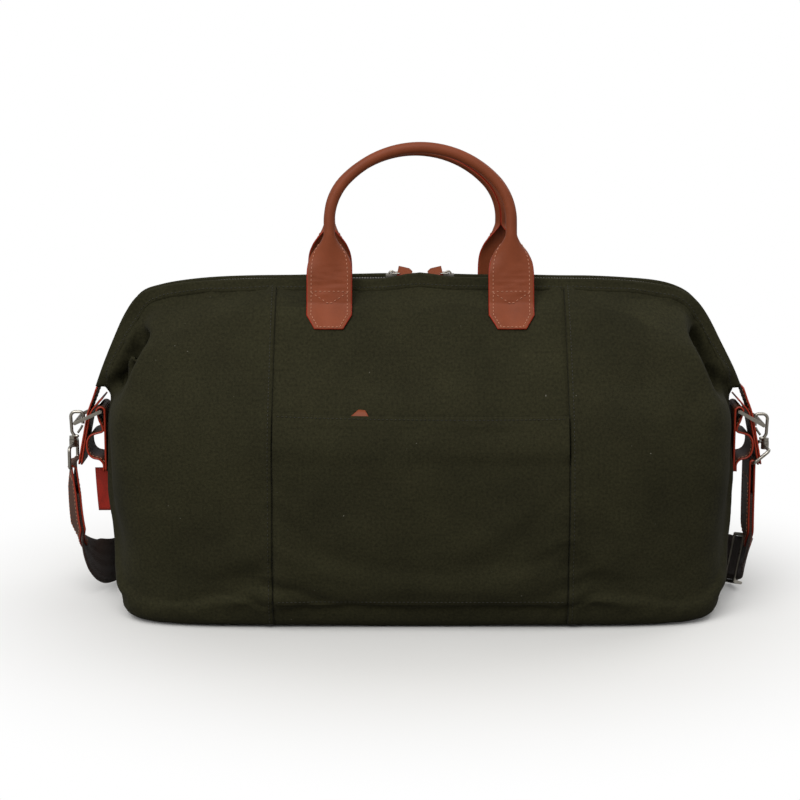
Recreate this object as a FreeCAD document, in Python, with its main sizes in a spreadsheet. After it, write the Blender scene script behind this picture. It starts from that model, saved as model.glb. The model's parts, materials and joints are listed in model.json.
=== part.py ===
import FreeCAD, Part
import math
import os
from FreeCAD import Rotation, Vector

# Weekender bag with a gable top: canvas body, rolled leather handles, a ridge zip whose ends
# are folded down as ears, and a shoulder strap clipped to a ring at each end.
# Origin: centre of the footprint, on the ground. +X is the bag's right, +Y its back, +Z up.

DIMENSIONS = {
    "bag_half_length": 268.0,
    "bag_half_depth": 120.0,
    "bag_height": 278.0,
    "ridge_half_length": 229.0,
    "ridge_half_depth": 10.0,
    "canvas_thickness": 2.0,
    "lining_thickness": 0.8,
    "seam_half_spacing": 121.0,
    "ear_tip_reach": 277.0,
    "ear_tip_height": 180.0,
    "ear_half_width": 17.0,
    "board_length": 470.0,
    "board_width": 200.0,
    "board_thickness": 3.0,
    "pocket_bottom": 22.0,
    "pocket_top": 178.0,
    "pocket_gap": 3.6,
    "zip_tape_width": 8.0,
    "zip_tape_thickness": 1.2,
    "zip_tooth_width": 2.4,
    "zip_tooth_height": 2.4,
    "zip_slider_place": 24.0,
    "zip_slider_length": 10.0,
    "zip_slider_width": 8.0,
    "zip_pull_length": 12.0,
    "zip_pull_width": 9.0,
    "zip_pull_thickness": 2.8,
    "handle_half_span": 76.0,
    "handle_radius": 6.2,
    "handle_core_radius": 4.0,
    "handle_hinge_back": 32.0,
    "handle_hinge_height": 272.0,
    "handle_apex_height": 387.0,
    "handle_lean": 8.4,
    "tab_width": 38.0,
    "tab_length": 40.0,
    "tab_thickness": 2.4,
    "chape_width": 38.0,
    "leather_layer": 1.6,
    "chape_bottom": 112.5,
    "chape_loop_height": 165.0,
    "ring_bar": 3.0,
    "ring_reach": 23.9,
    "ring_inner_width": 41.0,
    "hook_wire": 2.8,
    "loop_wire": 3.0,
    "strap_width": 38.0,
    "webbing_thickness": 2.2,
    "tag_height": 38.0,
    "tag_width": 10.5,
    "tag_thickness": 1.0,
}

doc = FreeCAD.newDocument("weekender_bag")
sheet = doc.addObject("Spreadsheet::Sheet", "sizes")
for row, (alias, value) in enumerate(DIMENSIONS.items(), start=1):
    sheet.set(f"A{row}", alias)
    sheet.set(f"B{row}", str(value))
    sheet.setAlias(f"B{row}", alias)
doc.recompute()

LEFT, RIGHT = -1, 1
FRONT, BACK = -1, 1
SIDES = {"left": LEFT, "right": RIGHT}
SLIT = 0.15          # clearance between stacked soft layers
PARTS = []


def size(alias):
    return float(sheet.get(alias))


def bind(obj, **expressions):
    for prop, expression in expressions.items():
        obj.setExpression(prop, expression)


def publish(obj, node):
    """Mark an object as one of the bag's pieces, named for its node."""
    obj.Label = node
    PARTS.append(obj)
    return obj


def feature(node, shape, placement=FreeCAD.Placement()):
    obj = doc.addObject("Part::Feature", node)
    obj.Shape = shape
    obj.Placement = placement
    return publish(obj, node)


def origin_plane(body, role):
    return next(f for f in body.Origin.OriginFeatures if f.Role == role)


def sketch_outline(body, name, role, points):
    """A closed straight-sided outline on one of the body's own origin planes."""
    sketch = body.newObject("Sketcher::SketchObject", name)
    sketch.AttachmentSupport = (origin_plane(body, role), [""])
    sketch.MapMode = "FlatFace"
    for start, end in zip(points, points[1:] + points[:1]):
        sketch.addGeometry(Part.LineSegment(Vector(*start, 0), Vector(*end, 0)))
    return sketch


def profile_body(node, points, windows, width):
    """A strip bent in the XZ plane: an outline with windows, padded both ways along Y."""
    body = doc.addObject("PartDesign::Body", node)
    outline = sketch_outline(body, node + "_outline", "XZ_Plane", points)
    pad = body.newObject("PartDesign::Pad", node + "_pad")
    pad.Profile = outline
    pad.Midplane = True
    bind(pad, Length=width)
    for number, window in enumerate(windows):
        hole = sketch_outline(body, f"{node}_window_{number}", "XZ_Plane", window)
        cut = body.newObject("PartDesign::Pocket", f"{node}_cut_{number}")
        cut.Profile = hole
        cut.Type = "ThroughAll"
        cut.Midplane = True
    return publish(body, node)


def box(name, corner, length, width, height):
    obj = doc.addObject("Part::Box", name)
    bind(obj, Length=length, Width=width, Height=height)
    obj.Placement.Base = Vector(*corner)
    return obj


def arc_points(centre, radius, start, end, steps):
    """Corner points along an arc in a sketch, angles in degrees."""
    turns = [math.radians(start + (end - start) * i / steps) for i in range(steps + 1)]
    return [(centre[0] + radius * math.cos(a), centre[1] + radius * math.sin(a)) for a in turns]


def mirrored(points, side):
    return [(side * x, z) for x, z in points]


# ---- canvas body -------------------------------------------------------------------------

# Height as a share of the bag's, half length and half depth as shares of the widest, and the
# corner radius: the box part bulges to the middle, the gable closes to the ridge.
SECTIONS = [
    (0.000, 0.933, 0.900, 40.0),
    (0.058, 0.959, 0.958, 44.0),
    (0.252, 0.989, 0.992, 46.0),
    (0.489, 1.000, 1.000, 46.0),
    (0.701, 0.965, 0.833, 44.0),
    (0.863, 0.880, 0.533, 38.0),
    (0.957, 0.845, 0.283, 24.0),
    (1.000, 0.838, 0.0833, 8.0),
]


def rounded_rectangle(half_x, half_y, radius, z):
    radius = min(radius, half_y - 0.5)
    edges = []
    corners = [(1, 1, 0), (-1, 1, 90), (-1, -1, 180), (1, -1, 270)]
    arcs = []
    for sx, sy, start in corners:
        centre = Vector(sx * (half_x - radius), sy * (half_y - radius), z)
        circle = Part.Circle(centre, Vector(0, 0, 1), radius)
        arcs.append(Part.Arc(circle, math.radians(start), math.radians(start + 90)).toShape())
    for arc, following in zip(arcs, arcs[1:] + arcs[:1]):
        edges.append(arc)
        edges.append(Part.makeLine(arc.Vertexes[-1].Point, following.Vertexes[0].Point))
    return Part.Wire(edges)


def bag_solid(inset, floor=0.0, drop=0.0):
    """The bag's outer form drawn in by an inset, standing on a raised floor."""
    wires = []
    for share, length_share, depth_share, radius in SECTIONS:
        z = floor + share * (size("bag_height") - floor - drop)
        half_x = length_share * size("bag_half_length") - inset
        half_y = depth_share * size("bag_half_depth") - inset
        wires.append(rounded_rectangle(half_x, half_y, radius - inset, z))
    return Part.makeLoft(wires, True, True)


def slab(low, high):
    return Part.makeBox(high[0] - low[0], high[1] - low[1], high[2] - low[2], Vector(*low))


def ridge_points(offset, tip_height):
    """Ear tip and ridge corner (x, z) of the zip line on the right, moved out by an offset."""
    run = size("ear_tip_reach") - size("ridge_half_length")
    fall = size("bag_height") - size("ear_tip_height")
    slope = math.hypot(run, fall)
    normal = (fall / slope, run / slope)
    mitre = offset / (1 + normal[1])
    corner = (size("ridge_half_length") + mitre * normal[0],
              size("bag_height") + mitre * (1 + normal[1]))
    along = (size("bag_height") - tip_height) / fall
    tip = (size("ridge_half_length") + along * run + offset * normal[0],
           tip_height + offset * normal[1])
    return tip, corner


def ear(side, depth):
    """Half of the zip end's flap, folded down over the end of the bag, under the zip."""
    under = -size("zip_tape_thickness") - SLIT
    tip, corner = ridge_points(under, size("ear_tip_height"))
    outline = [
        (corner[0] - 9, corner[1]),
        corner,
        tip,
        (tip[0] - 3.0, tip[1] - 1.2),
        (size("bag_half_length") - 8, tip[1] + 22),
        (size("bag_half_length") - 30, tip[1] + 60),
    ]
    wire = Part.makePolygon([Vector(side * x, 0, z) for x, z in outline + outline[:1]])
    return Part.Face(wire).extrude(Vector(0, depth * size("ear_half_width"), 0))


canvas = size("canvas_thickness")
FAR = 2 * size("bag_half_length")
outer = bag_solid(0.0)
shell = outer.cut(bag_solid(canvas, floor=canvas, drop=canvas))
seam = size("seam_half_spacing")
zip_slot = slab((-FAR, -size("zip_tape_width") - SLIT, size("bag_height") - canvas - SLIT),
                (FAR, size("zip_tape_width") + SLIT, size("bag_height") + 1))

for depth_name, depth in (("front", FRONT), ("back", BACK)):
    y_range = sorted((0.0, depth * FAR))
    centre = slab((-seam, y_range[0], canvas), (seam, y_range[1], FAR))
    feature(f"{depth_name}_centre_panel", shell.common(centre).cut(zip_slot))
    for side_name, side in SIDES.items():
        x_range = sorted((side * seam, side * FAR))
        region = slab((x_range[0], y_range[0], canvas), (x_range[1], y_range[1], FAR))
        panel = shell.common(region).fuse(ear(side, depth).cut(bag_solid(canvas)))
        feature(f"{side_name}_{depth_name}_panel", panel.cut(zip_slot).removeSplitter())
feature("base_panel", shell.common(slab((-FAR, -FAR, 0.0), (FAR, FAR, canvas))))

lining_out = canvas + 2 * SLIT
lining_in = lining_out + size("lining_thickness")
MOUTH_HALF_LENGTH, MOUTH_HALF_WIDTH = 205.0, 7.0
lining_shell = bag_solid(lining_out, floor=lining_out, drop=canvas + 2).cut(
    bag_solid(lining_in, floor=lining_in, drop=canvas + 3))
mouth = slab((-MOUTH_HALF_LENGTH, -MOUTH_HALF_WIDTH, size("bag_height") - 20),
             (MOUTH_HALF_LENGTH, MOUTH_HALF_WIDTH, size("bag_height")))
feature("lining", lining_shell.cut(mouth))

board_top = lining_in + SLIT
board = box("base_board_blank", (-size("board_length") / 2, -size("board_width") / 2, board_top),
            "sizes.board_length", "sizes.board_width", "sizes.board_thickness")
doc.recompute()
board_fillet = doc.addObject("Part::Fillet", "base_board")
board_fillet.Base = board
upright = [i for i, e in enumerate(board.Shape.Edges, start=1)
           if abs(e.tangentAt(e.FirstParameter).z) > 0.9]
BOARD_CORNER = 30.0
board_fillet.Edges = [(i, BOARD_CORNER, BOARD_CORNER) for i in upright]
publish(board_fillet, "base_board")

# ---- front pocket ------------------------------------------------------------------------

pocket_low, pocket_high = size("pocket_bottom"), size("pocket_top")
gap = size("pocket_gap")
pocket_side = seam - 1.0
HEM = 8.0            # stitched margin that joins the pocket to the panel
pocket_region = slab((-pocket_side, -FAR, pocket_low), (pocket_side, 0.0, pocket_high))
pocket_room = slab((HEM - pocket_side, -FAR, pocket_low + HEM), (pocket_side - HEM, 0.0, pocket_high))
pocket_skin = bag_solid(-gap - canvas).cut(bag_solid(-gap)).common(pocket_region)
pocket_hems = bag_solid(-gap).cut(bag_solid(-SLIT)).common(pocket_region).cut(pocket_room)
feature("front_pocket_panel", pocket_skin.fuse(pocket_hems).removeSplitter())

ZIP_BELOW_HEM = 4.0
pocket_zip_top = pocket_high - ZIP_BELOW_HEM
pocket_zip_half = pocket_side - HEM - 1.0
TAPE_HEIGHT, TEETH_HEIGHT = 14.0, 2.4


def front_strip(low, high, near, far):
    """A strip that follows the front of the bag between two heights and two offsets."""
    region = slab((-pocket_zip_half, -FAR, low), (pocket_zip_half, 0.0, high))
    return bag_solid(-far).cut(bag_solid(-near)).common(region)


feature("pocket_zip_tape", front_strip(pocket_zip_top - TAPE_HEIGHT, pocket_zip_top, 0.15, 0.75))
teeth_middle = pocket_zip_top - TAPE_HEIGHT / 2
feature("pocket_zip_teeth", front_strip(teeth_middle - TEETH_HEIGHT / 2,
                                        teeth_middle + TEETH_HEIGHT / 2, 0.85, 1.6))


# ---- ridge zip ---------------------------------------------------------------------------

ZIP_END_HEIGHT = 186.0


def ridge_band(node, low, high, near, far, depth):
    """A strip along the ridge and down both ears, between two offsets from the zip line."""
    tip_low, corner_low = ridge_points(low, ZIP_END_HEIGHT)
    tip_high, corner_high = ridge_points(high, ZIP_END_HEIGHT)
    right = [tip_high, tip_low, corner_low]
    left = [(-x, z) for x, z in reversed(right)]
    outline = right + left + [(-corner_high[0], corner_high[1]), corner_high]
    wire = Part.makePolygon([Vector(x, depth * near, z) for x, z in outline + outline[:1]])
    return feature(node, Part.Face(wire).extrude(Vector(0, depth * (far - near), 0)))


tape = size("zip_tape_thickness")
tooth, tooth_half = size("zip_tooth_width"), size("zip_tooth_height") / 2
for depth_name, depth in (("front", FRONT), ("back", BACK)):
    ridge_band(f"zip_tape_{depth_name}", -tape, 0.0, tooth + SLIT, size("zip_tape_width"), depth)
    ridge_band(f"zip_teeth_{depth_name}", -tooth_half, tooth_half, 0.1, tooth, depth)

BAIL_RADIUS, BAIL_WIRE = 2.3, 0.8
LINK_WIRE, LINK_LENGTH = 0.55, 6.5
LINK_LIFT = 0.75
PLATE = 1.2
plate_z = size("bag_height") + tooth_half + 0.3
link_z = plate_z + PLATE + LINK_LIFT


def slider_shape(length, width):
    """Plate with side lips, and a half-ring bail across the teeth, about the plate's middle."""
    plate = Part.makeBox(length, width, PLATE, Vector(-length / 2, -width / 2, 0))
    lip_drop = plate_z - size("bag_height") - 0.15
    for edge in (-width / 2, width / 2 - 1.0):
        lip = Part.makeBox(length, 1.0, lip_drop, Vector(-length / 2, edge, -lip_drop))
        plate = plate.fuse(lip)
    ring = Part.makeTorus(BAIL_RADIUS, BAIL_WIRE, Vector(0, 0, 0), Vector(0, 1, 0))
    upper = ring.common(slab((-9, -9, 0), (9, 9, 9)))
    upper.translate(Vector(0, 0, PLATE - 0.1))
    return plate.fuse(upper)


def link_shape(length, width):
    """Flat wire loop lying level, from the bail (x = 0) towards +x."""
    circle = Part.Wire(Part.makeCircle(LINK_WIRE, Vector(0, 0, 0), Vector(1, 0, 0)))
    circle.translate(Vector(length / 2, -width / 2, 0))
    start = Part.makePolygon([Vector(length / 2, -width / 2, 0)] + [
        Vector(*p, 0) for p in ((length, -width / 2), (length, width / 2), (0, width / 2),
                                (0, -width / 2), (length / 2, -width / 2))])
    return start.makePipeShell([circle], True, True, 2)


def pull_shape(length, width, thickness):
    """Leather tab folded round the link's far bar, with a rounded free end."""
    tab = Part.makeBox(length, width, thickness, Vector(-thickness / 2, -width / 2, -thickness / 2))
    ends = [e for e in tab.Edges if abs(e.tangentAt(e.FirstParameter).z) > 0.9
            and e.CenterOfMass.x > length / 2]
    tab = tab.makeFillet(width / 2 - 0.6, ends)
    bore = Part.makeCylinder(LINK_WIRE + 0.15, 2 * width, Vector(0, -width, 0), Vector(0, 1, 0))
    return tab.cut(bore)


def facing(side, base, tilt=0.0):
    """Placement of a shape made towards +x: turned to a side, then tipped down that side."""
    turn = Rotation(Vector(0, 0, 1), 0 if side == RIGHT else 180)
    tip = Rotation(Vector(0, 1, 0), side * tilt)
    return FreeCAD.Placement(Vector(*base), tip * turn)


link_width = size("zip_pull_width") + 2 * (LINK_WIRE + 0.25)
for side_name, side in SIDES.items():
    x = side * size("zip_slider_place")
    slider = slider_shape(size("zip_slider_length"), size("zip_slider_width"))
    feature(f"zip_slider_{side_name}", slider, facing(side, (x, 0, plate_z)))
    link = link_shape(LINK_LENGTH, link_width)
    feature(f"zip_pull_link_{side_name}", link, facing(-side, (x, 0, link_z)))
    pull = pull_shape(size("zip_pull_length"), size("zip_pull_width"), size("zip_pull_thickness"))
    at_link = facing(-side, (x - side * LINK_LENGTH, 0, link_z))
    feature(f"zip_pull_{side_name}", pull, at_link)


# ---- pocket zip runner -------------------------------------------------------------------

POCKET_RUNNER_X = -52.0
RUNNER_LENGTH, RUNNER_HEIGHT, RUNNER_DEPTH = 10.0, 9.0, 1.4
PULL_RISE, POCKET_PULL_WIDTH, POCKET_PULL_DEPTH = 22.0, 18.0, 1.6


def front_y(z, offset):
    """Y of the bag's front at a height, out by an offset."""
    probe = bag_solid(-offset).common(Part.makeLine(Vector(0, -FAR, z), Vector(0, 0, z)))
    return probe.BoundBox.YMin


def front_lean(z):
    """Angle of the bag's front from upright at a height, in degrees."""
    step = 5.0
    return math.degrees(math.atan2(front_y(z + step, 0) - front_y(z - step, 0), 2 * step))


def lean_on_front(x, z, offset):
    """Placement that stands an upright shape against the front of the bag."""
    lean = Rotation(Vector(1, 0, 0), -front_lean(z))
    return FreeCAD.Placement(Vector(x, front_y(z, offset), z), lean)


runner = Part.makeBox(RUNNER_LENGTH, RUNNER_DEPTH, RUNNER_HEIGHT,
                      Vector(-RUNNER_LENGTH / 2, -RUNNER_DEPTH, -RUNNER_HEIGHT / 2))
feature("pocket_zip_slider", runner, lean_on_front(POCKET_RUNNER_X, teeth_middle, 1.75))
pull_low = RUNNER_HEIGHT / 2 + SLIT
pull_outline = [(-POCKET_PULL_WIDTH / 2, pull_low), (POCKET_PULL_WIDTH / 2, pull_low),
                (POCKET_PULL_WIDTH / 2, PULL_RISE - 6), (2.0, PULL_RISE),
                (-POCKET_PULL_WIDTH / 2, PULL_RISE - 4)]
pull_face = Part.Face(Part.makePolygon([Vector(x, 0, z) for x, z in pull_outline + pull_outline[:1]]))
pull_solid = pull_face.extrude(Vector(0, -POCKET_PULL_DEPTH, 0))
feature("pocket_zip_pull", pull_solid, lean_on_front(POCKET_RUNNER_X, teeth_middle, 1.0))

# ---- handles -----------------------------------------------------------------------------

CROWN_RADIUS, CROWN_JOIN = 86.0, math.radians(44.0)
LEG_START = 8.0      # clear of the hinge line, so that the handle can lie down
LEG_FLAT = 1.3
hinge_z = size("handle_hinge_height")
half_span = size("handle_half_span")
shoulder_radius = (half_span - CROWN_RADIUS * math.cos(CROWN_JOIN)) / (1 - math.cos(CROWN_JOIN))
crown_rise = CROWN_RADIUS - (CROWN_RADIUS - shoulder_radius) * math.sin(CROWN_JOIN)
spring = size("handle_apex_height") - hinge_z - crown_rise


def handle_path():
    """Three-centred arch from leg to leg, above the hinge line."""
    arcs = []
    crown_z = spring + crown_rise - CROWN_RADIUS
    shoulder_x = half_span - shoulder_radius
    for x, z, radius, start, end in (
            (shoulder_x, spring, shoulder_radius, 0, CROWN_JOIN),
            (0, crown_z, CROWN_RADIUS, CROWN_JOIN, math.pi - CROWN_JOIN),
            (-shoulder_x, spring, shoulder_radius, math.pi - CROWN_JOIN, math.pi)):
        turns = (start, (start + end) / 2, end)
        through = [Vector(x + radius * math.cos(a), 0, z + radius * math.sin(a)) for a in turns]
        arcs.append(Part.Arc(*through).toShape())
    return Part.Wire(arcs)


def tube(path, radius, start, heading):
    return path.makePipeShell([Part.Wire(Part.makeCircle(radius, start, heading))], True, False)


def handle_leg(x):
    """The flat end rolling up into the tube, above the hinge line."""
    flat = Part.Ellipse(Vector(x, 0, LEG_START), size("tab_width") / 2, LEG_FLAT).toShape()
    rolled = Part.makeCircle(size("handle_radius"), Vector(x, 0, spring), Vector(0, 0, 1))
    waist = Part.Ellipse(Vector(x, 0, 0.62 * spring), size("tab_width") * 0.34, 4.4).toShape()
    return Part.makeLoft([Part.Wire(flat), Part.Wire(waist), Part.Wire(rolled)], True, False)


foot = Vector(half_span, 0, spring)
arch = tube(handle_path(), size("handle_radius"), foot, Vector(0, 0, 1))
bore = tube(handle_path(), size("handle_core_radius") + 0.3, foot, Vector(0, 0, 1))
core = tube(handle_path(), size("handle_core_radius"), foot, Vector(0, 0, 1))
roll = arch.cut(bore).fuse([handle_leg(-half_span), handle_leg(half_span)]).removeSplitter()

slope_low, slope_high = SECTIONS[5], SECTIONS[6]
slope_run = (slope_low[2] - slope_high[2]) * size("bag_half_depth")
slope_fall = (slope_high[0] - slope_low[0]) * size("bag_height")
slope_angle = math.degrees(math.atan2(slope_fall, slope_run))
TAB_LIFT = 0.4
TAB_TOE, TAB_TAPER = 11.0, 22.0
half_tab = size("tab_width") / 2
tab_outline = [(-half_tab, 0), (half_tab, 0), (half_tab, size("tab_length") - TAB_TAPER),
               (TAB_TOE, size("tab_length")), (-TAB_TOE, size("tab_length")),
               (-half_tab, size("tab_length") - TAB_TAPER)]


def handle_tab(x):
    """Flat tab stitched to the gable: outline down the slope, thickness away from the canvas."""
    wire = Part.makePolygon([Vector(px + x, py, 0) for px, py in tab_outline + tab_outline[:1]])
    return Part.Face(wire).extrude(Vector(0, 0, size("tab_thickness")))


tabs = Part.makeCompound([handle_tab(-half_span), handle_tab(half_span)])
TAB_START = -3.0
for depth_name, depth in (("front", FRONT), ("rear", BACK)):
    turned = Rotation(Vector(0, 0, 1), 180 if depth == FRONT else 0)
    lean = Rotation(Vector(1, 0, 0), depth * size("handle_lean"))
    hinge = Vector(0, depth * size("handle_hinge_back"), hinge_z)
    for node, shape in ((f"{depth_name}_handle", roll), (f"{depth_name}_handle_core", core)):
        feature(node, shape, FreeCAD.Placement(hinge, lean))
    down = Rotation(Vector(1, 0, 0), -slope_angle)
    start_y = slope_high[2] * size("bag_half_depth") + TAB_START * math.cos(math.radians(slope_angle))
    start_z = slope_high[0] * size("bag_height") - TAB_START * math.sin(math.radians(slope_angle))
    base = Vector(0, start_y + TAB_LIFT * math.sin(math.radians(slope_angle)),
                  start_z + TAB_LIFT * math.cos(math.radians(slope_angle)))
    placed = FreeCAD.Placement(Vector(0, 0, 0), turned) * FreeCAD.Placement(base, down)
    feature(f"{depth_name}_handle_tabs", tabs, placed)

# ---- end hardware ------------------------------------------------------------------------

layer = size("leather_layer")
chape_back = size("bag_half_length") + 0.4
loop_clear = size("ring_bar") * math.sqrt(2) / 2 + 0.4
eye = (chape_back + layer + loop_clear, size("chape_loop_height"))
chape_foot = size("chape_bottom")
RING_ANGLE = {"left": 24.7, "right": 30.0}
LOOP_TILT = {"left": 0.0, "right": 50.0}
HOOK_OUT, HOOK_DOWN = 5.2, 21.8      # strap loop's top bar from the ring's outer bar
LOOP_DROP = 17.5
ROUND = 10                            # straight steps in a bent strap's half turn


def chape_outline():
    """Strap sewn up the end, over the ring's bar, down again and out into a keeper loop."""
    front = chape_back + 2 * layer + 0.2
    outline = [(chape_back, chape_foot)]
    outline += arc_points(eye, loop_clear + layer, 180, 0, ROUND)
    outline += [(front, eye[1] - 13.5), (front, 147.0), (280.6, 145.2), (284.3, 141.5),
                (285.5, 134.0), (284.4, 127.0), (281.4, 123.4), (274.5, 122.6), (front, 118.0),
                (front, chape_foot)]
    window = [(front - layer, 143.6), (279.6, 143.6), (282.9, 140.4), (283.8, 134.0),
              (282.9, 128.2), (280.4, 125.2), (front - layer, 124.4)]
    return outline, window


def wing_outline():
    """Strap whose two layers hold the ear's tip, hanging down through the ring."""
    return [(276.4, 185.2), (285.8, 161.2), (293.3, 118.6), (290.2, 118.0), (282.9, 160.2),
            (270.9, 174.9), (272.1, 175.9), (281.8, 164.4), (277.6, 179.8), (274.9, 184.6)]


def ring_shape():
    bar, reach, inner = size("ring_bar"), size("ring_reach"), size("ring_inner_width")
    frame = Part.makeBox(reach + bar, inner + 2 * bar, bar, Vector(-bar / 2, -inner / 2 - bar, -bar / 2))
    gap_box = Part.makeBox(reach - bar, inner, 2 * bar, Vector(bar / 2, -inner / 2, -bar))
    return frame.cut(gap_box)


def tangent_path(points, share=0.45, report=None):
    """Straight runs joined by arcs, each as large as its two runs allow."""
    edges = []
    start = points[0]
    for before, corner, after in zip(points, points[1:], points[2:]):
        into, out = (corner - before), (after - corner)
        turn = into.getAngle(out)
        reach = share * min(into.Length, out.Length)
        radius = reach / math.tan(turn / 2)
        into.normalize()
        out.normalize()
        first, last = corner - into * reach, corner + out * reach
        bisector = (out - into).normalize()
        middle = corner + bisector * (radius / math.cos(turn / 2) - radius)
        edges.append(Part.makeLine(start, first))
        edges.append(Part.Arc(first, middle, last).toShape())
        start = last
        if report is not None:
            report.append(round(radius, 1))
    edges.append(Part.makeLine(start, points[-1]))
    return edges


def bent_wire(points, radius, share=0.45):
    """Round wire along an open path of (x, y, z) points."""
    points = [Vector(*p) for p in points]
    profile = Part.Wire(Part.makeCircle(radius, points[0], points[1] - points[0]))
    return Part.Wire(tangent_path(points, share)).makePipeShell([profile], True, False)


def hook_shapes():
    """Body, gate and swivel of the snap hook, about the ring bar that it hangs from."""
    wire = size("hook_wire") / 2
    body = bent_wire([(-3.6, 0, -4.2), (-4.7, 0, 6.0), (6.9, 0, 6.0), (6.1, 0, -12.0),
                      (3.5, 0, -15.4), (1.4, 0, -15.4)], wire, 0.38)
    body = body.fuse(Part.makeSphere(wire, Vector(1.4, 0, -15.4)))
    collar = Part.makeCylinder(3.2, 2.4, Vector(HOOK_OUT, 0, -17.6))
    hinge = (1.0, 0, -12.4)
    nose = (-3.2, 0, -5.9)
    gate = bent_wire([hinge, ((hinge[0] + nose[0]) / 2 - 0.3, 0, (hinge[2] + nose[2]) / 2), nose], 1.0)
    swivel = Part.makeCylinder(3.4, 6.6, Vector(HOOK_OUT, 0, -HOOK_DOWN - 2.8))
    bore_radius = size("loop_wire") / 2 + 0.2
    bore = Part.makeCylinder(bore_radius, 20, Vector(HOOK_OUT, -10, -HOOK_DOWN), Vector(0, 1, 0))
    return body.fuse(collar).removeSplitter(), gate, swivel.cut(bore)


def strap_loop_shape():
    """Closed wire loop hanging from its own top bar."""
    half, drop, wire = size("strap_width") / 2 + 4.0, LOOP_DROP, size("loop_wire") / 2
    corners = [(0, 0, 0), (0, half, 0), (0, half, -drop), (0, 0, -drop)]
    halves = []
    for mirror in (1, -1):
        path = [(x, mirror * y, z) for x, y, z in corners]
        halves.append(bent_wire(path, wire, 0.19))
    return halves[0].fuse(halves[1]).removeSplitter()


def folded_leather(height, foot):
    """Strap leather folded over the loop's lower bar, its two legs down to the given foot."""
    inner = size("loop_wire") / 2 + 0.2
    outline = [(-inner - layer, foot), (-inner - layer, height)]
    outline += arc_points((0, height), inner + layer, 180, 0, ROUND)[1:-1]
    outline += [(inner + layer, height), (inner + layer, foot), (inner, foot), (inner, height)]
    outline += arc_points((0, height), inner, 0, 180, ROUND)[1:-1]
    outline += [(-inner, height), (-inner, foot)]
    return outline


def offset_outline(outline, dx):
    return [(x + dx, z) for x, z in outline]


LEATHER_FOOT = 66.0
hang_x = {}
for side_name, side in SIDES.items():
    outline, window = chape_outline()
    eye_window = arc_points(eye, loop_clear, 0, 330, 2 * ROUND - 1)
    windows = [mirrored(window, side), mirrored(eye_window, side)]
    profile_body(f"{side_name}_chape", mirrored(outline, side), windows, "sizes.chape_width")
    profile_body(f"{side_name}_wing_strap", mirrored(wing_outline(), side), [],
                 "2 * sizes.ear_half_width")

    angle = math.radians(RING_ANGLE[side_name])
    at_eye = facing(side, (side * eye[0], 0, eye[1]), RING_ANGLE[side_name])
    feature(f"{side_name}_ring", ring_shape(), at_eye)

    bar_x = eye[0] + size("ring_reach") * math.cos(angle)
    bar_z = eye[1] - size("ring_reach") * math.sin(angle)
    at_bar = facing(side, (side * bar_x, 0, bar_z))
    for node, shape in zip(("hook_body", "hook_gate", "hook_swivel"), hook_shapes()):
        feature(f"{side_name}_{node}", shape, at_bar)

    loop_x, loop_z = bar_x + HOOK_OUT, bar_z - HOOK_DOWN
    loop_tilt = math.radians(LOOP_TILT[side_name])
    at_top_bar = facing(side, (side * loop_x, 0, loop_z), LOOP_TILT[side_name])
    feature(f"{side_name}_strap_loop", strap_loop_shape(), at_top_bar)
    hang_x[side_name] = loop_x - LOOP_DROP * math.sin(loop_tilt)
    fold_z = loop_z - LOOP_DROP * math.cos(loop_tilt)
    leather = offset_outline(folded_leather(fold_z, LEATHER_FOOT), hang_x[side_name])
    profile_body(f"{side_name}_strap_leather", mirrored(leather, side), [], "sizes.strap_width")

TAG_TOP = 112.0
tag = box("label_tag", (-size("bag_half_length") - 0.3 - size("tag_width"), -size("tag_thickness") / 2,
                        TAG_TOP - size("tag_height")),
          "sizes.tag_width", "sizes.tag_thickness", "sizes.tag_height")
publish(tag, "label_tag")

# ---- shoulder strap ----------------------------------------------------------------------

# The webbing's centre line and the direction of its width at each point: down out of the left
# leather, twisting onto its edge, round the back of the bag and up to the right leather.
STRAP_ROUTE = [
    ((-299.4, 0, 92), (0, 1, 0)),
    ((-299.4, 0, 57), (0, 1, 0)),
    ((-296, 2, 36), (0.6, 0.8, 0.1)),
    ((-284, 8, 23), (0.6, 0.1, 0.8)),
    ((-270, 30, 20), (0, 0, 1)),
    ((-266, 64, 20), (0, 0, 1)),
    ((-263, 104, 20), (0, 0, 1)),
    ((-238, 131, 20), (0, 0, 1)),
    ((-196, 139, 20), (0, 0, 1)),
    ((-136, 133, 20), (0, 0, 1)),
    ((-76, 129, 20), (0, 0, 1)),
    ((-18, 127, 20), (0, 0, 1)),
    ((42, 128, 20), (0, 0, 1)),
    ((100, 131, 20), (0, 0, 1)),
    ((156, 136, 20), (0, 0, 1)),
    ((206, 140, 20), (0, 0, 1)),
    ((244, 130, 20), (0, 0, 1)),
    ((264, 100, 20), (0, 0, 1)),
    ((268, 64, 20), (0, 0, 1)),
    ((277, 42, 21), (0.3, 0, 1)),
    ((287, 8, 28), (0.3, 0, 1)),
    ((286.4, 1, 42), (0.2, 0.9, 0.5)),
    ((285, 0, 57), (0, 1, 0)),
    ((285, 0, 92), (0, 1, 0)),
]


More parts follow.
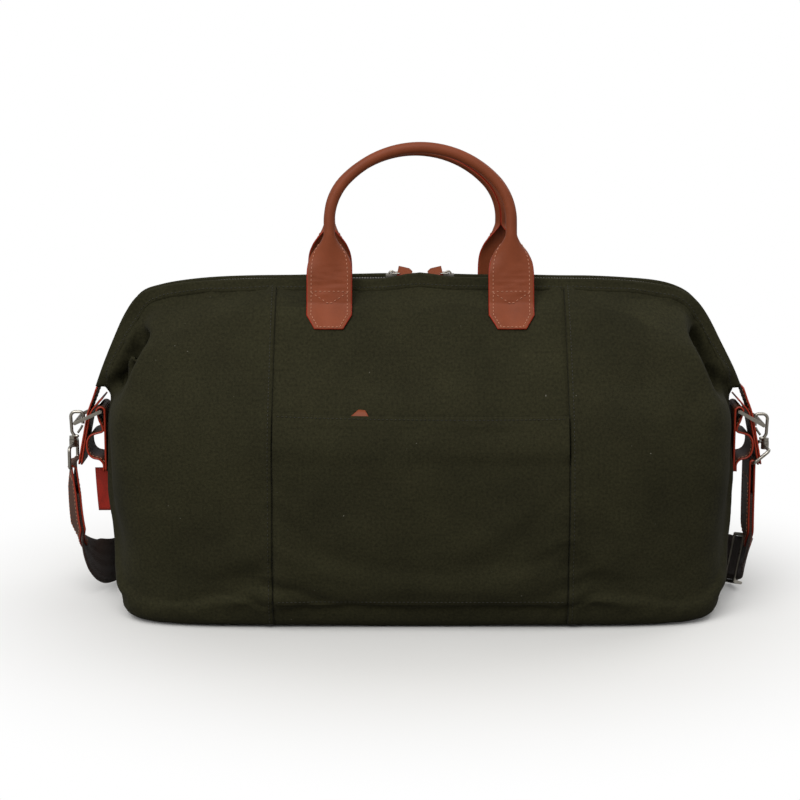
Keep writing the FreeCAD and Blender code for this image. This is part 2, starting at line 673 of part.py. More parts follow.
def ribbon(route, width, thickness):
    """Flat strap along the route: four-cornered sections joined by plain triangles."""
    points = [Vector(*p) for p, _ in route]
    radii = []
    edges = tangent_path(points, report=radii)
    stations, wides = [], []
    lengths = [edge.Length for edge in edges]
    middles = [Vector(*w) for _, w in route]
    travelled = 0.0
    for number, edge in enumerate(edges):
        steps = 1 if number % 2 == 0 else 4
        for step in range(steps):
            first, last = edge.FirstParameter, edge.LastParameter
            at = first + (last - first) * step / steps
            stations.append((edge.valueAt(at), edge.tangentAt(at)))
            wides.append(travelled + lengths[number] * step / steps)
        travelled += lengths[number]
    stations.append((points[-1], edges[-1].tangentAt(edges[-1].LastParameter)))
    wides.append(travelled)
    marks = [0.0]
    for number in range(1, len(points) - 1):
        marks.append(sum(lengths[:2 * number - 1]) + lengths[2 * number - 1] / 2)
    marks.append(travelled)
    corners = []
    for (point, tangent), at in zip(stations, wides):
        span = max(i for i in range(len(marks) - 1) if marks[i] <= at + 1e-6)
        share = (at - marks[span]) / (marks[span + 1] - marks[span])
        wide = middles[span] * (1 - share) + middles[span + 1] * share
        wide = (wide - tangent * wide.dot(tangent)).normalize()
        face = tangent.cross(wide)
        half_w, half_t = wide * (width / 2), face * (thickness / 2)
        corners.append([point + half_w + half_t, point - half_w + half_t,
                        point - half_w - half_t, point + half_w - half_t])
    faces = []
    for one, two in zip(corners, corners[1:]):
        for i in range(4):
            j = (i + 1) % 4
            for triangle in ((one[i], one[j], two[j]), (one[i], two[j], two[i])):
                faces.append(Part.Face(Part.makePolygon(list(triangle) + [triangle[0]])))
    for end in (corners[0], corners[-1]):
        faces.append(Part.Face(Part.makePolygon(end + end[:1])))
    solid = Part.makeSolid(Part.makeShell(faces))
    return solid, radii, travelled


webbing, bend_radii, webbing_length = ribbon(STRAP_ROUTE, size("strap_width"),
                                             size("webbing_thickness"))
if webbing.Volume < 0:
    webbing.reverse()
feature("strap_webbing", webbing)
print("webbing bend radii", bend_radii, "length", round(webbing_length, 1))
print("volume against section times length",
      round(webbing.Volume / (size("strap_width") * size("webbing_thickness") * webbing_length), 3))

GLIDE_HALF, GLIDE_CAP, GLIDE_LONG, GLIDE_BAR = 19.9, 2.6, 22.0, 2.6
GLIDE_DEEP = 4.2


def glide_shape():
    """Strap slider: end caps joined by two bars outside the webbing and one inside it."""
    deep = GLIDE_DEEP
    shape = None
    for low in (-GLIDE_HALF - GLIDE_CAP, GLIDE_HALF):
        cap = Part.makeBox(2 * deep, GLIDE_LONG, GLIDE_CAP, Vector(-deep, -GLIDE_LONG / 2, low))
        shape = cap if shape is None else shape.fuse(cap)
    places = ((deep - 1.6, -GLIDE_LONG / 2), (deep - 1.6, GLIDE_LONG / 2 - GLIDE_BAR),
              (-deep, -GLIDE_BAR / 2))
    for x, y in places:
        bar = Part.makeBox(1.6, GLIDE_BAR, 2 * GLIDE_HALF, Vector(x, y, -GLIDE_HALF))
        shape = shape.fuse(bar)
    return shape.removeSplitter()


GLIDE_RUN = 19       # the slider sits on the run that starts at this point of the route
run_start, wide = (Vector(*v) for v in STRAP_ROUTE[GLIDE_RUN])
run_end = Vector(*STRAP_ROUTE[GLIDE_RUN + 1][0])
along = (run_end - run_start).normalize()
wide = (wide - along * wide.dot(along)).normalize()
at_run = FreeCAD.Placement((run_start + run_end) / 2,
                           Rotation(along.cross(wide), along, wide, "ZYX"))
feature("strap_slider", glide_shape(), at_run)

# ---- checks and files --------------------------------------------------------------------

doc.recompute()
for obj in doc.Objects:
    if "Invalid" in obj.State or "Error" in obj.State:
        raise RuntimeError(f"{obj.Name} failed: {obj.State}")
os.makedirs("parts", exist_ok=True)
for old in os.listdir("parts"):
    os.remove(os.path.join("parts", old))
for obj in PARTS:
    shape = obj.Shape
    if shape.isNull() or not shape.isValid() or not shape.Solids:
        raise RuntimeError(f"{obj.Label} has no valid shape")
    shape.exportStep(f"parts/{obj.Label}.step")
print(len(PARTS), "pieces written")
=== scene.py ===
import json
import math

import bmesh
import bpy
import numpy as np
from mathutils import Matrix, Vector, noise
from mathutils.bvhtree import BVHTree

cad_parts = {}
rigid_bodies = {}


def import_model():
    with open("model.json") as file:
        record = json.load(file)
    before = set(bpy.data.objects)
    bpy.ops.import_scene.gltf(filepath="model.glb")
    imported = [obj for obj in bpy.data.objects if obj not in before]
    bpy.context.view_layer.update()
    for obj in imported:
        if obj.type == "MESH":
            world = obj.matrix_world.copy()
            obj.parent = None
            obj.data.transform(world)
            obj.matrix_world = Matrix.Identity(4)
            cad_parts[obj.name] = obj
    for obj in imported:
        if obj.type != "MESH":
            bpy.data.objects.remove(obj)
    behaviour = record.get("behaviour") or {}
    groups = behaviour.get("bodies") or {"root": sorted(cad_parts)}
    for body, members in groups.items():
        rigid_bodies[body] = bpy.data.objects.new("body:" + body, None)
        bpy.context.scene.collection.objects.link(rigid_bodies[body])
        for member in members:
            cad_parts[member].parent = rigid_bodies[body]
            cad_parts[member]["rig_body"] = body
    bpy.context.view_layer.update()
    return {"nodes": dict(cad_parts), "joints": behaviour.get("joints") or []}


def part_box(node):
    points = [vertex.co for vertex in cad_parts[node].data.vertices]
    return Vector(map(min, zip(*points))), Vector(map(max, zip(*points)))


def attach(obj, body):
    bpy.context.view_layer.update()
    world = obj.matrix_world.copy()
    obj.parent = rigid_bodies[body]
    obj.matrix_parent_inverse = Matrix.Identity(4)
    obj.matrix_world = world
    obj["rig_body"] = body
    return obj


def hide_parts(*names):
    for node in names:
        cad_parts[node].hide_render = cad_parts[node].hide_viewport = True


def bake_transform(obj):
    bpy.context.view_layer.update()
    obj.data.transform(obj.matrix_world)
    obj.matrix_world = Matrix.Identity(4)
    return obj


bl_info = {
    "name": "Weekender bag",
    "version": (1, 0, 0),
    "blender": (4, 5, 0),
    "location": "View3D > Sidebar > Bag",
    "description": "Canvas weekender bag with rolled leather handles, a ridge zip and a clip-on strap",
    "category": "Object",
}

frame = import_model()
JOINTS = {joint["name"]: joint for joint in frame["joints"]}

MM = 0.001
LEFT, RIGHT = -1, 1
FRONT, BACK = -1, 1
SIDES = {"left": LEFT, "right": RIGHT}
DEPTHS = {"front": FRONT, "back": BACK}
SEAM_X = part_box("front_centre_panel")[1].x
POCKET_LOW, POCKET_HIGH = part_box("front_pocket_panel")
EYE = Vector(JOINTS["right_ring_tilt"]["pos_m"])


def linear(code):
    """Linear red, green and blue of an sRGB hex colour."""
    parts = [int(code[i:i + 2], 16) / 255 for i in (0, 2, 4)]
    return [c / 12.92 if c <= 0.04045 else ((c + 0.055) / 1.055) ** 2.4 for c in parts]


class BagSizes(bpy.types.PropertyGroup):
    canvas: bpy.props.FloatProperty(
        name="Canvas", description="Thickness of the body's canvas", default=1.6 * MM, unit="LENGTH")
    leather: bpy.props.FloatProperty(
        name="Leather", description="Thickness of one layer of strap leather",
        default=1.6 * MM, unit="LENGTH")
    handle_leather: bpy.props.FloatProperty(
        name="Handle leather", description="Thickness of the rolled leather", default=1.8 * MM, unit="LENGTH")
    strip_width: bpy.props.FloatProperty(
        name="Strip width", description="Width of the handle's and end straps' leather",
        default=38.0 * MM, unit="LENGTH")
    stitch_pitch: bpy.props.FloatProperty(
        name="Stitch pitch", description="From one stitch to the next", default=3.4 * MM, unit="LENGTH")
    webbing_width: bpy.props.FloatProperty(
        name="Webbing width", description="Width of the shoulder strap", default=38.0 * MM, unit="LENGTH")
    webbing: bpy.props.FloatProperty(
        name="Webbing", description="Thickness of the shoulder strap", default=2.0 * MM, unit="LENGTH")
    mesh_cell: bpy.props.FloatProperty(
        name="Cloth cell", description="Cell of the mesh that the cloth is draped with",
        default=5.2 * MM, unit="LENGTH")


def colour(name, description, code):
    return bpy.props.FloatVectorProperty(
        name=name, description=description, subtype="COLOR", size=3, min=0, max=1, default=linear(code))


class BagColours(bpy.types.PropertyGroup):
    # Painted light on the canvas's raised threads and painted shade in its hollows: a lit and a shaded tone
    # of one canvas colour, mixed by the weave's height.
    canvas_painted_light: colour("Canvas thread", "Raised threads of the canvas", "353321")
    canvas_painted_shade: colour("Canvas between threads", "Hollows of the canvas", "1f1e11")
    leather_tan: colour("Handle leather", "Tan leather of the handles", "864429")
    leather_brown: colour("Strap leather", "Brown leather of the end straps", "55301f")
    edge_paint: colour("Edge paint", "Painted edges of the leather", "a83219")
    webbing: colour("Webbing", "Shoulder strap", "35241b")
    tag: colour("Tag", "Sewn-in tag", "c02c18")
    nickel: colour("Nickel", "Rings, hooks and zip", "b9b4aa")
    canvas_thread: colour("Canvas thread", "Stitches in the canvas", "27251a")
    leather_thread: colour("Leather thread", "Stitches in the leather", "cd8c6e")
    floor: colour("Floor", "Plain studio floor", "f2f1ee")


def sizes():
    return bpy.context.scene.bag_sizes


def colours():
    return bpy.context.scene.bag_colours


# ---- materials ---------------------------------------------------------------------------------


def add(tree, kind, inputs=None, **settings):
    """A node with its settings, its values and its links."""
    made = tree.nodes.new(kind)
    for key, value in settings.items():
        setattr(made, key, value)
    for key, value in (inputs or {}).items():
        if isinstance(value, bpy.types.NodeSocket):
            tree.links.new(value, made.inputs[key])
        else:
            made.inputs[key].default_value = value
    return made


def blank(name, roughness, metallic=0.0, ior=1.5):
    mat = bpy.data.materials.new(name)
    mat.use_nodes = True
    shader = mat.node_tree.nodes["Principled BSDF"]
    shader.inputs["Roughness"].default_value = roughness
    shader.inputs["Metallic"].default_value = metallic
    shader.inputs["IOR"].default_value = ior
    return mat, mat.node_tree, shader


def rgba(value):
    return (*value, 1.0)


def noise_at(tree, place, size, detail, **more):
    """Noise whose blotches are about one size across."""
    inputs = {"Vector": place, "Scale": 1 / size, "Detail": detail, **more}
    return add(tree, "ShaderNodeTexNoise", inputs).outputs["Fac"]


def mapped(tree, value, low, high, **span):
    """A value brought into the range from low to high."""
    inputs = {"Value": value, "To Min": low, "To Max": high, **span}
    return add(tree, "ShaderNodeMapRange", inputs).outputs[0]


def tinted(tree, colour_in, value):
    """A colour made lighter or darker."""
    return add(tree, "ShaderNodeHueSaturation", {"Color": colour_in, "Value": value}).outputs[0]


def bumped(tree, height, strength, depth):
    return add(tree, "ShaderNodeBump",
               {"Strength": strength, "Distance": depth, "Height": height}).outputs[0]


def dress(tree, shader, **sockets):
    """Link values to the shader's sockets, given with underscores for spaces."""
    for name, value in sockets.items():
        tree.links.new(value, shader.inputs[name.replace("_", " ")])


WAVE_BANDS = 2 * math.pi / 20      # a wave texture of scale 1 has bands this far apart
LINT = "a09c90"
FLOOR_IN_LIGHT = "8c8a85"          # the floor's tone where it throws light back onto the bag


def woven_canvas():
    """Waxed cotton canvas: a dull, tight plain weave with slubs, soft fading and a little lint, with painted
    light on its raised threads and painted shade in its hollows.
    """
    mat, tree, shader = blank("woven_cotton_canvas", 0.88)
    place = add(tree, "ShaderNodeTexCoord").outputs["UV"]
    thread = 1.0 * MM              # real threads are 0.5 mm apart: drawn coarser so that they show
    bands = []
    for direction in ("X", "Y"):
        bands.append(add(tree, "ShaderNodeTexWave", {
            "Vector": place, "Scale": WAVE_BANDS / thread, "Distortion": 3.5, "Detail": 2.0,
            "Detail Scale": 0.8}, bands_direction=direction).outputs["Fac"])
    weave = add(tree, "ShaderNodeMath", {0: bands[0], 1: bands[1]}, operation="MULTIPLY").outputs[0]
    slub = noise_at(tree, place, 2.2 * MM, 3.0, Roughness=0.7)
    fade = noise_at(tree, place, 70 * MM, 4.0, Roughness=0.6)
    nubs = add(tree, "ShaderNodeMath", {0: slub, 1: 1.3}, operation="MULTIPLY").outputs[0]
    grain = add(tree, "ShaderNodeMath", {0: weave, 1: 0.45, 2: nubs}, operation="MULTIPLY_ADD").outputs[0]
    shade = mapped(tree, grain, 0.0, 1.0, **{"From Min": 0.42, "From Max": 1.1})
    # Painted light on the raised threads and painted shade in the hollows between them, mixed by the weave's
    # height.
    woven = add(tree, "ShaderNodeMix", {0: shade, 6: rgba(colours().canvas_painted_shade),
                                        7: rgba(colours().canvas_painted_light)}, data_type="RGBA").outputs[2]
    worn = mapped(tree, fade, 0.8, 1.24, **{"From Min": 0.3, "From Max": 0.75})
    faded_and_painted_shade = tinted(tree, woven, worn)
    lint = noise_at(tree, place, 5 * MM, 2.0)
    speck = mapped(tree, lint, 0.0, 0.5, **{"From Min": 0.765, "From Max": 0.80})
    lint_fade_and_painted_shade = add(tree, "ShaderNodeMix", {0: speck, 6: faded_and_painted_shade, 7: rgba(linear(LINT))},
                data_type="RGBA").outputs[2]
    dress(tree, shader, Base_Color=lint_fade_and_painted_shade, Normal=bumped(tree, grain, 0.4, 0.3 * MM))
    shader.inputs["Sheen Weight"].default_value = 0.02
    shader.inputs["Specular IOR Level"].default_value = 0.1
    return mat


def dressed_leather(name, base, roughness):
    """Vegetable-tanned strap leather: fine pebbled grain, cloudy dye, a soft waxy shine."""
    mat, tree, shader = blank(name, roughness, ior=1.48)
    place = add(tree, "ShaderNodeTexCoord").outputs["Object"]
    cloud = noise_at(tree, place, 22 * MM, 5.0, Roughness=0.62)
    pebble = add(tree, "ShaderNodeTexVoronoi", {"Vector": place, "Scale": 1 / (1.3 * MM)},
                 feature="DISTANCE_TO_EDGE").outputs["Distance"]
    pore = noise_at(tree, place, 0.8 * MM, 2.0)
    crease = mapped(tree, pebble, 0.0, 1.0, **{"From Max": 0.10})
    grain = add(tree, "ShaderNodeMath", {0: crease, 1: pore}, operation="MULTIPLY").outputs[0]
    dyed = tinted(tree, rgba(base), mapped(tree, cloud, 0.9, 1.14, **{"From Min": 0.3, "From Max": 0.72}))
    shine = mapped(tree, cloud, roughness - 0.1, roughness + 0.12)
    dress(tree, shader, Base_Color=dyed, Roughness=shine, Normal=bumped(tree, grain, 0.35, 0.18 * MM))
    shader.inputs["Specular IOR Level"].default_value = 0.2
    return mat


def edge_paint():
    """Painted leather edge: a thick, slightly uneven gloss coat."""
    mat, tree, shader = blank("painted_leather_edge", 0.38)
    place = add(tree, "ShaderNodeTexCoord").outputs["Object"]
    coat = noise_at(tree, place, 3 * MM, 3.0)
    paint = tinted(tree, rgba(colours().edge_paint), mapped(tree, coat, 0.75, 1.2))
    dress(tree, shader, Base_Color=paint, Normal=bumped(tree, coat, 0.3, 0.2 * MM))
    return mat


def satin_nickel():
    """Satin nickel plate on brass: a soft metal shine with faint polishing haze."""
    mat, tree, shader = blank("satin_nickel_plate", 0.3, metallic=1.0)
    place = add(tree, "ShaderNodeTexCoord").outputs["Object"]
    haze = noise_at(tree, place, 4 * MM, 4.0)
    plate = tinted(tree, rgba(colours().nickel), mapped(tree, haze, 0.85, 1.1))
    dress(tree, shader, Base_Color=plate, Roughness=mapped(tree, haze, 0.2, 0.42))
    return mat


def plain_cloth(name, base, thread, roughness=0.85):
    """Plain woven narrow cloth, such as zip tape, lining or a tag: even threads both ways."""
    mat, tree, shader = blank(name, roughness)
    place = add(tree, "ShaderNodeTexCoord").outputs["Object"]
    threads = add(tree, "ShaderNodeTexVoronoi", {"Vector": place, "Scale": 1 / thread,
                                                 "Randomness": 0.35}).outputs["Distance"]
    cloth = tinted(tree, rgba(base), mapped(tree, threads, 1.25, 0.7, **{"From Max": 0.7}))
    dress(tree, shader, Base_Color=cloth, Normal=bumped(tree, threads, 0.5, 0.2 * MM))
    shader.inputs["Sheen Weight"].default_value = 0.1
    return mat


def herringbone_webbing():
    """Cotton webbing woven in herringbone: slanting ribs that turn back every few millimetres."""
    mat, tree, shader = blank("herringbone_cotton_webbing", 0.8)
    place = add(tree, "ShaderNodeTexCoord").outputs["UV"]
    across, along, _ = add(tree, "ShaderNodeSeparateXYZ", {0: place}).outputs

    def maths(operation, *values):
        return add(tree, "ShaderNodeMath", dict(enumerate(values)), operation=operation).outputs[0]

    slant = maths("ADD", along, maths("PINGPONG", across, 4.75 * MM))
    rib = maths("SINE", maths("MULTIPLY", slant, 2 * math.pi / (2.0 * MM)))
    cloth = tinted(tree, rgba(colours().webbing), mapped(tree, rib, 0.6, 1.45, **{"From Min": -1.0}))
    dress(tree, shader, Base_Color=cloth, Normal=bumped(tree, rib, 0.5, 0.3 * MM))
    shader.inputs["Sheen Weight"].default_value = 0.15
    return mat


def waxed_thread(name, base):
    """Waxed polyester thread: a fine twist with a slight shine."""
    mat, tree, shader = blank(name, 0.55)
    place = add(tree, "ShaderNodeTexCoord").outputs["Object"]
    twist = add(tree, "ShaderNodeTexWave", {"Vector": place, "Scale": WAVE_BANDS / (0.6 * MM)},
                bands_direction="DIAGONAL").outputs["Fac"]
    dress(tree, shader, Base_Color=tinted(tree, rgba(base), mapped(tree, twist, 0.75, 1.15)))
    return mat


def studio_floor():
    """Matt painted board: pale, faintly mottled, and glowing out to plain white away from the middle."""
    mat, tree, shader = blank("matt_studio_floor", 0.75)
    place = add(tree, "ShaderNodeTexCoord").outputs["Object"]
    mottle = add(tree, "ShaderNodeTexNoise", {"Vector": place, "Scale": 6.0}).outputs["Fac"]
    tone = tinted(tree, rgba(colours().floor), mapped(tree, mottle, 0.98, 1.02))
    away = add(tree, "ShaderNodeVectorMath", {0: place}, operation="LENGTH").outputs["Value"]
    far = add(tree, "ShaderNodeMapRange", {"Value": away, "From Min": 0.2, "From Max": 0.5},
              interpolation_type="SMOOTHSTEP").outputs[0]
    seen = add(tree, "ShaderNodeLightPath").outputs["Is Camera Ray"]
    cast = add(tree, "ShaderNodeMix", {0: seen, 6: rgba(linear(FLOOR_IN_LIGHT)), 7: tone},
               data_type="RGBA").outputs[2]
    tree.links.new(cast, shader.inputs["Base Color"])
    far = add(tree, "ShaderNodeMath", {0: far, 1: seen}, operation="MULTIPLY").outputs[0]
    glow = add(tree, "ShaderNodeEmission", {"Color": (1, 1, 1, 1), "Strength": 1.0}).outputs[0]
    both = add(tree, "ShaderNodeMixShader", {0: far, 1: shader.outputs[0], 2: glow}).outputs[0]
    tree.links.new(both, tree.nodes["Material Output"].inputs["Surface"])
    return mat


FINISHES = {
    "canvas": woven_canvas,
    "tan": lambda: dressed_leather("tan_dressed_leather", colours().leather_tan, 0.46),
    "brown": lambda: dressed_leather("brown_dressed_leather", colours().leather_brown, 0.5),
    "edge": edge_paint,
    "nickel": satin_nickel,
    "tape": lambda: plain_cloth("woven_zip_tape", linear("121110"), 0.9 * MM),
    "lining": lambda: plain_cloth("woven_lining", linear("5d5648"), 1.2 * MM),
    "tag": lambda: plain_cloth("woven_red_tag", colours().tag, 0.9 * MM, 0.7),
    "board": lambda: plain_cloth("pressed_fibre_board", linear("4a4540"), 2.5 * MM, 0.9),
    "cord": lambda: plain_cloth("twisted_cotton_core", linear("c9bfa6"), 1.5 * MM, 0.9),
    "webbing": herringbone_webbing,
    "canvas_thread": lambda: waxed_thread("olive_waxed_thread", colours().canvas_thread),
    "leather_thread": lambda: waxed_thread("tan_waxed_thread", colours().leather_thread),
    "floor": studio_floor,
}
MADE = {}


def finish(name):
    if name not in MADE:
        MADE[name] = FINISHES[name]()
    return MADE[name]


# ---- mesh helpers ------------------------------------------------------------------------------


def smoothstep(low, high, value):
    t = min(1.0, max(0.0, (value - low) / (high - low)))
    return t * t * (3 - 2 * t)


def through(points, steps):
    """Points of a smooth line through the given ones, with a number of steps between them."""
    rows = np.array([list(p) for p in points], float)
    ends = np.vstack([2 * rows[0] - rows[1], rows, 2 * rows[-1] - rows[-2]])
    made = []
    for i in range(1, len(ends) - 2):
        a, b, c, d = ends[i - 1:i + 3]
        for step in range(steps):
            t = step / steps
            made.append(0.5 * (2 * b + (c - a) * t + (2 * a - 5 * b + 4 * c - d) * t * t
                               + (3 * b - a - 3 * c + d) * t ** 3))
    made.append(rows[-1])
    return made


def run_at(points, i):
    """Direction in which a line of points runs at one of them."""
    return (points[min(i + 1, len(points) - 1)] - points[max(i - 1, 0)]).normalized()


def skin_faces(rings, count):
    """Faces that join each ring of points to the next."""
    faces = []
    for r in range(rings - 1):
        for i in range(count):
            j = (i + 1) % count
            faces.append((r * count + i, r * count + j, (r + 1) * count + j, (r + 1) * count + i))
    return faces


def sheet_faces(rows, columns):
    """Faces of a sheet with its points in rows."""
    corners = [row * (columns + 1) + i for row in range(rows) for i in range(columns)]
    return [(a, a + 1, a + columns + 2, a + columns + 1) for a in corners]


def mesh_object(name, verts, faces, materials, indices=None, uvs=None):
    mesh = bpy.data.meshes.new(name)
    mesh.from_pydata([tuple(v) for v in verts], [], faces)
    for material in materials:
        mesh.materials.append(material)
    if indices is not None:
        mesh.polygons.foreach_set("material_index", indices)
    if uvs is not None:
        layer = mesh.uv_layers.new(name="cloth")
        layer.data.foreach_set("uv", [c for uv in uvs for c in uv])
    mesh.polygons.foreach_set("use_smooth", [True] * len(mesh.polygons))
    mesh.update()
    obj = bpy.data.objects.new(name, mesh)
    bpy.context.scene.collection.objects.link(obj)
    return obj


def outward(obj):
    bm = bmesh.new()
    bm.from_mesh(obj.data)
    bmesh.ops.recalc_face_normals(bm, faces=bm.faces)
    bm.to_mesh(obj.data)
    bm.free()


def applied(obj):
    """The object with its modifiers worked into a plain mesh."""
    graph = bpy.context.evaluated_depsgraph_get()
    mesh = bpy.data.meshes.new_from_object(obj.evaluated_get(graph), preserve_all_data_layers=True,
                                           depsgraph=graph)
    obj.modifiers.clear()
    obj.data = mesh
    return obj


def settle(obj, body, slot, *nodes):
    """Hand a finished piece to its body and hide the model's parts that it replaces."""
    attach(obj, body)
    if nodes:
        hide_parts(*nodes)
    return obj


def section_loft(name, rings, materials):
    """Skin over equal closed rings of points, with flat ends."""
    count = len(rings[0])
    verts = [p for ring in rings for p in ring]
    faces = skin_faces(len(rings), count)
    faces.append(tuple(range(count)))
    faces.append(tuple((len(rings) - 1) * count + i for i in range(count)))
    return mesh_object(name, verts, faces, materials)


class Station:
    """One cross-section of a leather strip: its middle, directions, half width and roll."""

    def __init__(self, centre, wide, face, half, roll=0.0, lift=0.0):
        self.centre, self.wide, self.face = Vector(centre), Vector(wide), Vector(face)
        self.half, self.roll, self.lift = half, roll, lift

    def at(self, t, rise):
        """Point at a share of the half width, risen off the strip's mid surface."""
        if self.roll < 0.02:
            return self.centre + self.wide * (self.half * t) + self.face * rise
        radius = 2 * self.half / self.roll
        angle = self.roll * t / 2
        middle = (self.centre + self.face * self.lift + self.wide * (radius * math.sin(angle))
                  - self.face * (radius * (1 - math.cos(angle))))
        return middle + (self.wide * math.sin(angle) + self.face * math.cos(angle)) * rise


def strip_stations(points, wide, halves, normal_hint):
    """Stations along a line, with the face across the line's run and its width direction."""
    points = [Vector(p) for p in points]
    made = []
    for i, point in enumerate(points):
        along = run_at(points, i)
        across = Vector(wide) - along * Vector(wide).dot(along)
        across.normalize()
        face = along.cross(across) * normal_hint
        half = halves[i] if hasattr(halves, "__len__") else halves
        made.append(Station(point, across, face, half))
    return made


def leather_strip(name, stations, thickness, leather, columns=10, relief=None):
    """Solid strip with two leather faces and a rounded painted edge all round."""
    shares = [-1 + 2 * i / columns for i in range(columns + 1)]
    half = thickness / 2
    bulge = 1 + 0.35 * thickness / stations[0].half
    loop = ([(t, half) for t in shares] + [(bulge, 0.0)]
            + [(t, -half) for t in reversed(shares)] + [(-bulge, 0.0)])
    count = len(loop)
    verts = []
    for number, station in enumerate(stations):
        for t, rise in loop:
            creased = relief(number, t) if relief and rise > 0 else 0.0
            verts.append(station.at(t, rise + creased))
    faces = skin_faces(len(stations), count)
    rim = {columns, columns + 1, 2 * columns + 2, 2 * columns + 3}
    indices = [int(i in rim) for i in range(count)] * (len(stations) - 1)
    for base in (0, (len(stations) - 1) * count):
        for i in range(columns):
            faces.append((base + i, base + i + 1, base + 2 * columns + 1 - i, base + 2 * columns + 2 - i))
            indices.append(1)
        faces.append((base + columns, base + columns + 1, base + columns + 2))
        faces.append((base + count - 2, base + count - 1, base))
        indices.extend([1, 1])
    obj = mesh_object(name, verts, faces, [finish(leather), finish("edge")], indices)
    outward(obj)
    return obj


# ---- things that repeat along a line --------------------------------------------------------------


def socket_id(tree, name):
    return next(item.identifier for item in tree.interface.items_tree if item.name == name)


def repeat_tree(name, shape):
    """A node tree that sets small shapes along a line: stitches or zip teeth."""
    tree = bpy.data.node_groups.new(name, "GeometryNodeTree")
    tree.interface.new_socket("Line", in_out="INPUT", socket_type="NodeSocketGeometry")
    for label in ("Pitch", "Length", "Width", "Height"):
        tree.interface.new_socket(label, in_out="INPUT", socket_type="NodeSocketFloat")
    tree.interface.new_socket("Finish", in_out="INPUT", socket_type="NodeSocketMaterial")
    tree.interface.new_socket("Shapes", in_out="OUTPUT", socket_type="NodeSocketGeometry")
    given = add(tree, "NodeGroupInput").outputs
    line = add(tree, "GeometryNodeMeshToCurve", {"Mesh": given["Line"]}).outputs["Curve"]
    places = add(tree, "GeometryNodeCurveToPoints", {"Curve": line, "Length": given["Pitch"]}, mode="LENGTH")
    size = add(tree, "ShaderNodeCombineXYZ", {"X": given["Width"], "Y": given["Height"],
                                              "Z": given["Length"]}).outputs[0]
    if shape == "stitch":
        one = add(tree, "GeometryNodeMeshUVSphere",
                  {"Segments": 6, "Rings": 4, "Radius": 0.5}).outputs["Mesh"]
    else:
        one = add(tree, "GeometryNodeMeshCube", {"Size": (1, 1, 1)}).outputs["Mesh"]
    sized = add(tree, "GeometryNodeTransform", {"Geometry": one, "Scale": size}).outputs[0]
    set_out = add(tree, "GeometryNodeInstanceOnPoints", {
        "Points": places.outputs["Points"], "Instance": sized,
        "Rotation": places.outputs["Rotation"]}).outputs[0]
    real = add(tree, "GeometryNodeRealizeInstances", {"Geometry": set_out}).outputs[0]
    smooth = add(tree, "GeometryNodeSetShadeSmooth",
                 {"Geometry": real, "Shade Smooth": shape == "stitch"}).outputs[0]
    dressed = add(tree, "GeometryNodeSetMaterial",
                  {"Geometry": smooth, "Material": given["Finish"]}).outputs[0]
    add(tree, "NodeGroupOutput", {"Shapes": dressed})
    return tree


def repeated(name, lines, shape, pitch, length, width, height, material):
    """One piece of shapes set along the given lines of points."""
    tree = bpy.data.node_groups.get(shape + "_row") or repeat_tree(shape + "_row", shape)
    verts, edges = [], []
    for line in lines:
        first = len(verts)
        verts.extend(tuple(p) for p in line)
        edges.extend((first + i, first + i + 1) for i in range(len(line) - 1))
    mesh = bpy.data.meshes.new(name)
    mesh.from_pydata(verts, edges, [])
    obj = bpy.data.objects.new(name, mesh)
    bpy.context.scene.collection.objects.link(obj)
    modifier = obj.modifiers.new("repeat", "NODES")
    modifier.node_group = tree
    for label, value in (("Pitch", pitch), ("Length", length), ("Width", width), ("Height", height),
                         ("Finish", finish(material))):
        modifier[socket_id(tree, label)] = value
    return applied(obj)


def stitches(name, lines, thread, length=2.3 * MM, width=0.75 * MM):
    return repeated(name, lines, "stitch", sizes().stitch_pitch, length, width, 0.8 * width, thread)


# ---- canvas body -----------------------------------------------------------------------------------

# Height, half length, half depth (mm) and squareness of the body's cross-sections, bottom to top.
BODY_RINGS = (
    (0, 244, 104, 6.5), (4, 250, 110, 6.5), (16, 254, 114, 6.0), (45, 256, 118, 5.2),
    (75, 259, 120, 4.8), (105, 264, 121, 4.6), (136, 266, 120, 4.6), (160, 266, 114.5, 4.6),
    (176, 264, 107, 5.0), (188, 258, 99.5, 5.5), (200, 253.5, 90.5, 6.5), (214, 250, 79.5, 7.5),
    (230, 246, 66.5, 8), (246, 240, 52.5, 8), (260, 233, 38, 8), (269, 229, 25, 7), (275.5, 227, 13, 6),
)
RING_POINTS = 180
# The zip's line (mm from the middle): the level ridge, then each end's corner and ear, down to its tip.
RIDGE = ((0, 276.6), (60, 276.4), (120, 275.9), (165, 274.8))
EARS = {
    LEFT: ((200, 271.8), (222, 268.0), (237.5, 262.0), (249, 246.5), (259.5, 224.0), (269.0, 201.0),
           (275, 184.5)),
    RIGHT: ((200, 271.4), (220, 266.4), (232.5, 258.5), (243, 244.5), (254.5, 222.5), (265.5, 201.0),
            (272.5, 184.5)),
}


def half_line(side, steps):
    return through(RIDGE + EARS[side], steps)


def body_rings():
    rings = []
    for z, half_x, half_y, square in through(BODY_RINGS, 3):
        ring = []
        for i in range(RING_POINTS):
            turn = 2 * math.pi * i / RING_POINTS
            c, s = math.cos(turn), math.sin(turn)
            reach = (abs(c) ** square + abs(s) ** square) ** (-1 / square)
            ring.append(Vector((half_x * c * reach, half_y * s * reach, z)) * MM)
        rings.append(ring)
    return rings


def ridge_sag(x):
    """How far the ridge has sunk at a distance from its middle."""
    rows = half_line(LEFT if x < 0 else RIGHT, 6)
    xs, zs = [r[0] * MM for r in rows], [r[1] * MM for r in rows]
    return max(0.0, zs[0] - float(np.interp(abs(x), xs, zs))) if abs(x) < 0.234 else 0.015


